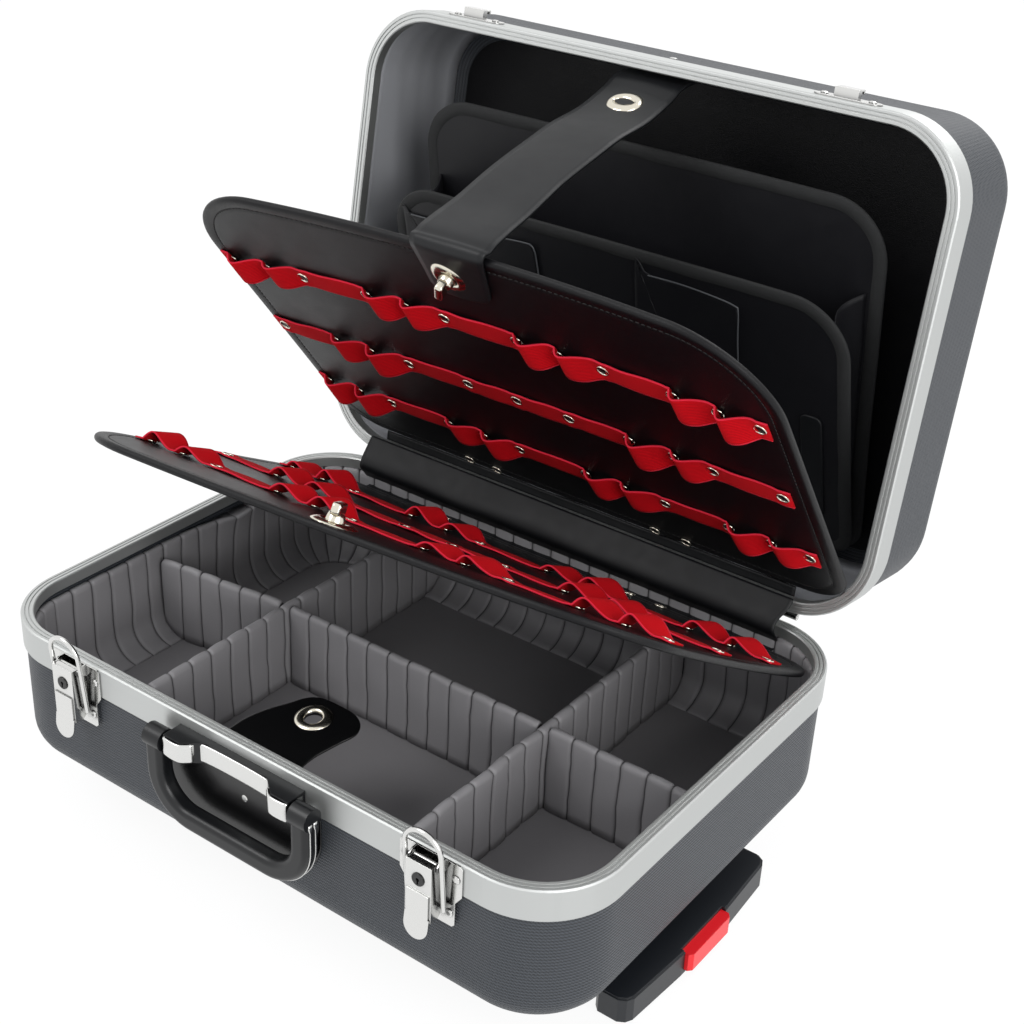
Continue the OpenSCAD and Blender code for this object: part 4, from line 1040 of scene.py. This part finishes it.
def addPockets(bowed, t, body):
    # two pockets with piped edges and a small strap, laid on the front wallet
    middleV = wallets["front"] / 2
    names = []
    pockets = {"PocketRight": [(28, 12), (115, 12), (114, 60), (114, 166), (115.7, 206),
                               (112, 210.5), (96, 213), (69, 215), (40, 214.5), (28, 212)],
               "PocketLeft": [(-193, 12), (-64, 12), (-63, 100), (-63, 187), (-64.5, 208),
                              (-72, 211), (-101.6, 209), (-150, 207.5), (-185, 207),
                              (-193, 203)]}
    for name, knots in pockets.items():
        outline = smoothPath(knots, 90, True)
        outline[:, 1] -= middleV
        grid, faces = plate(outline, outlineNormals(outline),
                            [(3, t + 1.1), (0.6, t + 1.1), (0, t + 0.6), (0, t + 0.1), (1, t)],
                            np.linspace(0.1, 0.9, 6))
        grid[..., 2] += 0.35 * ripple(grid[..., 0], grid[..., 1], 80, 91) * (grid[..., 2] > t + 1)
        names.append(addPiece("front" + name, bowed(grid), faces, "wallet", body).name)
        # the piped edge runs along the top and down the right side
        line = smoothPath(knots[2:9], 60) - [0, middleV]
        pipe = np.column_stack([line, np.full(60, t + 1.1)])
        grid, faces = tubeAlong(pipe, 0.6, 8)
        names.append(addPiece("front" + name + "Piping", bowed(grid), faces, "pipe", body).name)
    loop = roundLoop(tab["width"], tab["height"], tab["corner"], 3)
    grid, faces = plate(loop[0], loop[1], [(1.5, t + 1.5), (0.3, t + 1.2), (0, t + 0.6),
                                           (0.3, t)], (0.3, 0.6, 0.85))
    grid = grid + [tab["x"], tab["v"] - middleV, 0]
    names.append(addPiece("frontWalletStrap", bowed(grid), faces, "strap", body).name)
    return names


gussets = {"from": 26, "to": 222, "x": 192, "sag": 3, "moreSag": 6, "narrow": 0.96,
           "thickness": 1.0}


def addGusset(side):
    # thin cloth web between the two wallets, sagging inwards
    v = np.linspace(gussets["from"], gussets["to"], 40)
    share = np.linspace(0, 1, 13)
    half = wallets["thickness"] / 2
    rear = place(together(0, v, half), rearWalletFrame)
    front = place(together(0, v * gussets["narrow"], -half), frontWalletFrame)
    grid = rear[:, None] + (front - rear)[:, None] * share[None, :, None]
    sag = (gussets["sag"] + gussets["moreSag"] * (v / gussets["to"])[:, None]) \
        * np.sin(np.pi * share)[None] + 0.8 * ripple(v[:, None], share[None] * 40, 90, 95)
    grid[..., 0] = side * (gussets["x"] - sag)
    ring, faces = ribbon(grid, gussets["thickness"] / 2)
    name = "gussetRight" if side > 0 else "gussetLeft"
    web = addPiece(name, ring, faces, "wallet", replaced=["wallet_gussets"])
    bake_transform(web)


addWallet("rear", wallets["rear"], rearWalletFrame, "rear_wallet")
addWallet("front", wallets["front"], frontWalletFrame, "front_wallet")
for side in (1, -1):
    addGusset(side)
print("wallets")

# handle and bracket trims
handle = {"y": -194, "apart": 2.4, "thickness": 0.7, "bend": 37.5, "top": 142,
          "bendAt": 120.5, "half": 72.5, "endHalf": 1.7, "stripeHalf": 0.6, "endLength": 6,
          "crown": 0.25}
for side, name in ((-1, "handleTrimLeft"), (1, "handleTrimRight")):
    turn = np.radians(np.linspace(0, 75, 19))
    line = [(handle["half"], z) for z in np.linspace(handle["top"], handle["bendAt"], 8)]
    line += [(handle["half"] - handle["bend"] + handle["bend"] * math.cos(t),
              handle["bendAt"] - handle["bend"] * math.sin(t)) for t in turn[1:]]
    line = np.array(line)
    way = unit(np.gradient(line, axis=0))
    outward = np.stack([-way[:, 1], way[:, 0]], 1)
    run = distances(line)
    across = np.linspace(-1, 1, 5)
    away = np.stack([side * outward[:, 0], 0 * run, outward[:, 1]], 1)[:, None]
    stripes = []
    for offset in (-handle["apart"], handle["apart"]):
        half = np.where(run < handle["endLength"], handle["endHalf"], handle["stripeHalf"])
        crown = handle["crown"] * (1 - across ** 2)
        grid = together(side * (line[:, :1] + outward[:, :1] * crown),
                        handle["y"] + offset + half[:, None] * across,
                        line[:, 1:] + outward[:, 1:] * crown)
        stripes.append(ribbon(grid, handle["thickness"] / 2, away))
    points, faces = joinGrids(stripes)
    addPiece(name, points, faces, "nickel", "handle")

# a black plate on the shell behind the grip, held by the rivet at its middle
grip = {"width": 140, "depth": 60, "corner": 10, "lowCorner": 34, "x": -3, "y": -180.45,
        "z": 110.5}
loop = roundLoop(grip["width"], grip["depth"], grip["corner"], 3, grip["lowCorner"])
grid, faces = plate(loop[0], loop[1], [(1.2, 0.4), (0.3, 0.3), (0, 0), (0, -0.3), (1, -0.4)],
                    (0.3, 0.6, 0.85))
grid = np.stack([grid[..., 0] + grip["x"], grip["y"] - grid[..., 2],
                 grid[..., 1] + grip["z"]], -1)
addPiece("gripPlate", grid, faces, "gloss", "case_base")

trim = {"y": -182, "z": 144, "half": 0.95}
knots = [(-55.5, -2), (-55.5, -15.5), (-53, -18), (-41, -18), (-34, -13), (-27, -7), (27, -7),
         (34, -13), (41, -18), (53, -18), (55.5, -15.5), (55.5, -2)]
line = smoothPath(knots, 150)
rows = np.array([(-7, 0.6), (-6.4, 0.15), (-5.5, 0), (5.5, 0), (6.4, 0.15), (7, 0.6)])
way = unit(np.gradient(line, axis=0))
outward = np.stack([way[:, 1], -way[:, 0]], 1)
spot = line[:, None] - outward[:, None] * rows[None, :, 1, None]
grid = together(spot[..., 0], spot[..., 1] + trim["y"], rows[None, :, 0] + trim["z"])
away = np.concatenate([outward, np.zeros((len(line), 1))], 1)[:, None]
ring, faces = ribbon(grid - away * trim["half"], trim["half"], away)
addPiece("bracketTrim", ring, faces, "nickel", "case_base", replaced=["handle_bracket_trim"])
print("handle and bracket trims")

# stage, light, camera
cameraSet = {"position": (0.6446, -0.8025, 0.8248), "azimuth": 35.37, "elevation": 28.83,
             "roll": 2.76, "lens": 59.74}
# place, target, size and power of each lamp
lightSet = {"keyLight": ((-1.1, -1.3, 2.1), (0, 0, 0.25), 1.2, 20.0),
            "fillLight": ((2.2, -0.9, 1.3), (0, 0, 0.2), 1.6, 34.0),
            "backLight": ((0.4, 1.8, 1.9), (0, 0, 0.3), 1.2, 18.0)}
worldSet = {"colour": (0.95, 0.97, 1.0, 1), "strength": 0.74}


def addCamera():
    az, el, roll = (math.radians(cameraSet[k]) for k in ("azimuth", "elevation", "roll"))
    back = np.array([math.sin(az) * math.cos(el), -math.cos(az) * math.cos(el), math.sin(el)])
    right = np.cross(-back, [0, 0, 1])
    right /= np.linalg.norm(right)
    up = np.cross(right, -back)
    turnedRight = math.cos(roll) * right + math.sin(roll) * up
    turnedUp = -math.sin(roll) * right + math.cos(roll) * up
    data = bpy.data.cameras.new("camera")
    data.lens, data.sensor_width, data.clip_end = cameraSet["lens"], 36, 20
    camera = addObject("camera", data)
    matrix = np.eye(4)
    matrix[:3, 0], matrix[:3, 1], matrix[:3, 2] = turnedRight, turnedUp, back
    matrix[:3, 3] = cameraSet["position"]
    camera.matrix_world = Matrix(matrix.tolist())
    bpy.context.scene.camera = camera


def addLight(name, place, target, size, power):
    data = bpy.data.lights.new(name, "AREA")
    data.shape, data.size, data.energy = "SQUARE", size, power
    light = addObject(name, data)
    light.location = place
    direction = Vector(target) - Vector(place)
    light.rotation_euler = direction.to_track_quat("-Z", "Y").to_euler()


def backgroundRays(tree):
    # 1 for the rays that should meet the plain white background
    ray = addNode(tree, "ShaderNodeLightPath")
    seen = calculate(tree, "MAXIMUM", (ray, "Is Camera Ray"), (ray, "Is Glossy Ray"))
    return calculate(tree, "MAXIMUM", seen, (ray, "Is Transmission Ray"))


def addWorld():
    world = bpy.data.worlds.new("studioSky")
    bpy.context.scene.world = world
    world.use_nodes = True
    tree = world.node_tree
    sky = tree.nodes["Background"]
    sky.inputs["Color"].default_value = worldSet["colour"]
    sky.inputs["Strength"].default_value = worldSet["strength"]
    plainWhite = addNode(tree, "ShaderNodeBackground", {"Color": (1, 1, 1, 1), "Strength": 1.0})
    mix = addNode(tree, "ShaderNodeMixShader",
                  {0: backgroundRays(tree), 1: (sky, 0), 2: (plainWhite, 0)})
    connect(tree, (mix, 0), tree.nodes["World Output"].inputs[0])


floorSet = {"half": 6, "below": -0.0002, "colour": 0.92, "own": 0.88, "glow": 1.04}


def addFloor():
    mesh = bpy.data.meshes.new("studioFloor")
    half, down = floorSet["half"], floorSet["below"]
    corners = np.array([[-half, -half, down], [half, -half, down], [half, half, down],
                        [-half, half, down]], float)
    mesh.from_pydata(corners.tolist(), [], [[0, 1, 2, 3]])
    floor = addObject("studioFloor", mesh)
    material, tree, shader = newMaterial("whiteStudioFloor", "ffffff", 0.9)
    shader.inputs["Base Color"].default_value = (*[floorSet["colour"]] * 3, 1)
    glow = addNode(tree, "ShaderNodeEmission",
                   {"Color": (1, 1, 1, 1), "Strength": floorSet["glow"]})
    # most of the white is its own, and the rest keeps the object's faint shadow
    share = calculate(tree, "MULTIPLY", backgroundRays(tree), floorSet["own"])
    mix = addNode(tree, "ShaderNodeMixShader", {0: share, 1: (shader, 0), 2: (glow, 0)})
    connect(tree, (mix, 0), tree.nodes["Material Output"].inputs[0])
    mesh.materials.append(material)


addCamera()
addWorld()
addFloor()
for name, row in lightSet.items():
    addLight(name, *row)
bpy.context.scene.view_settings.view_transform = "Standard"
print("camera and lights")
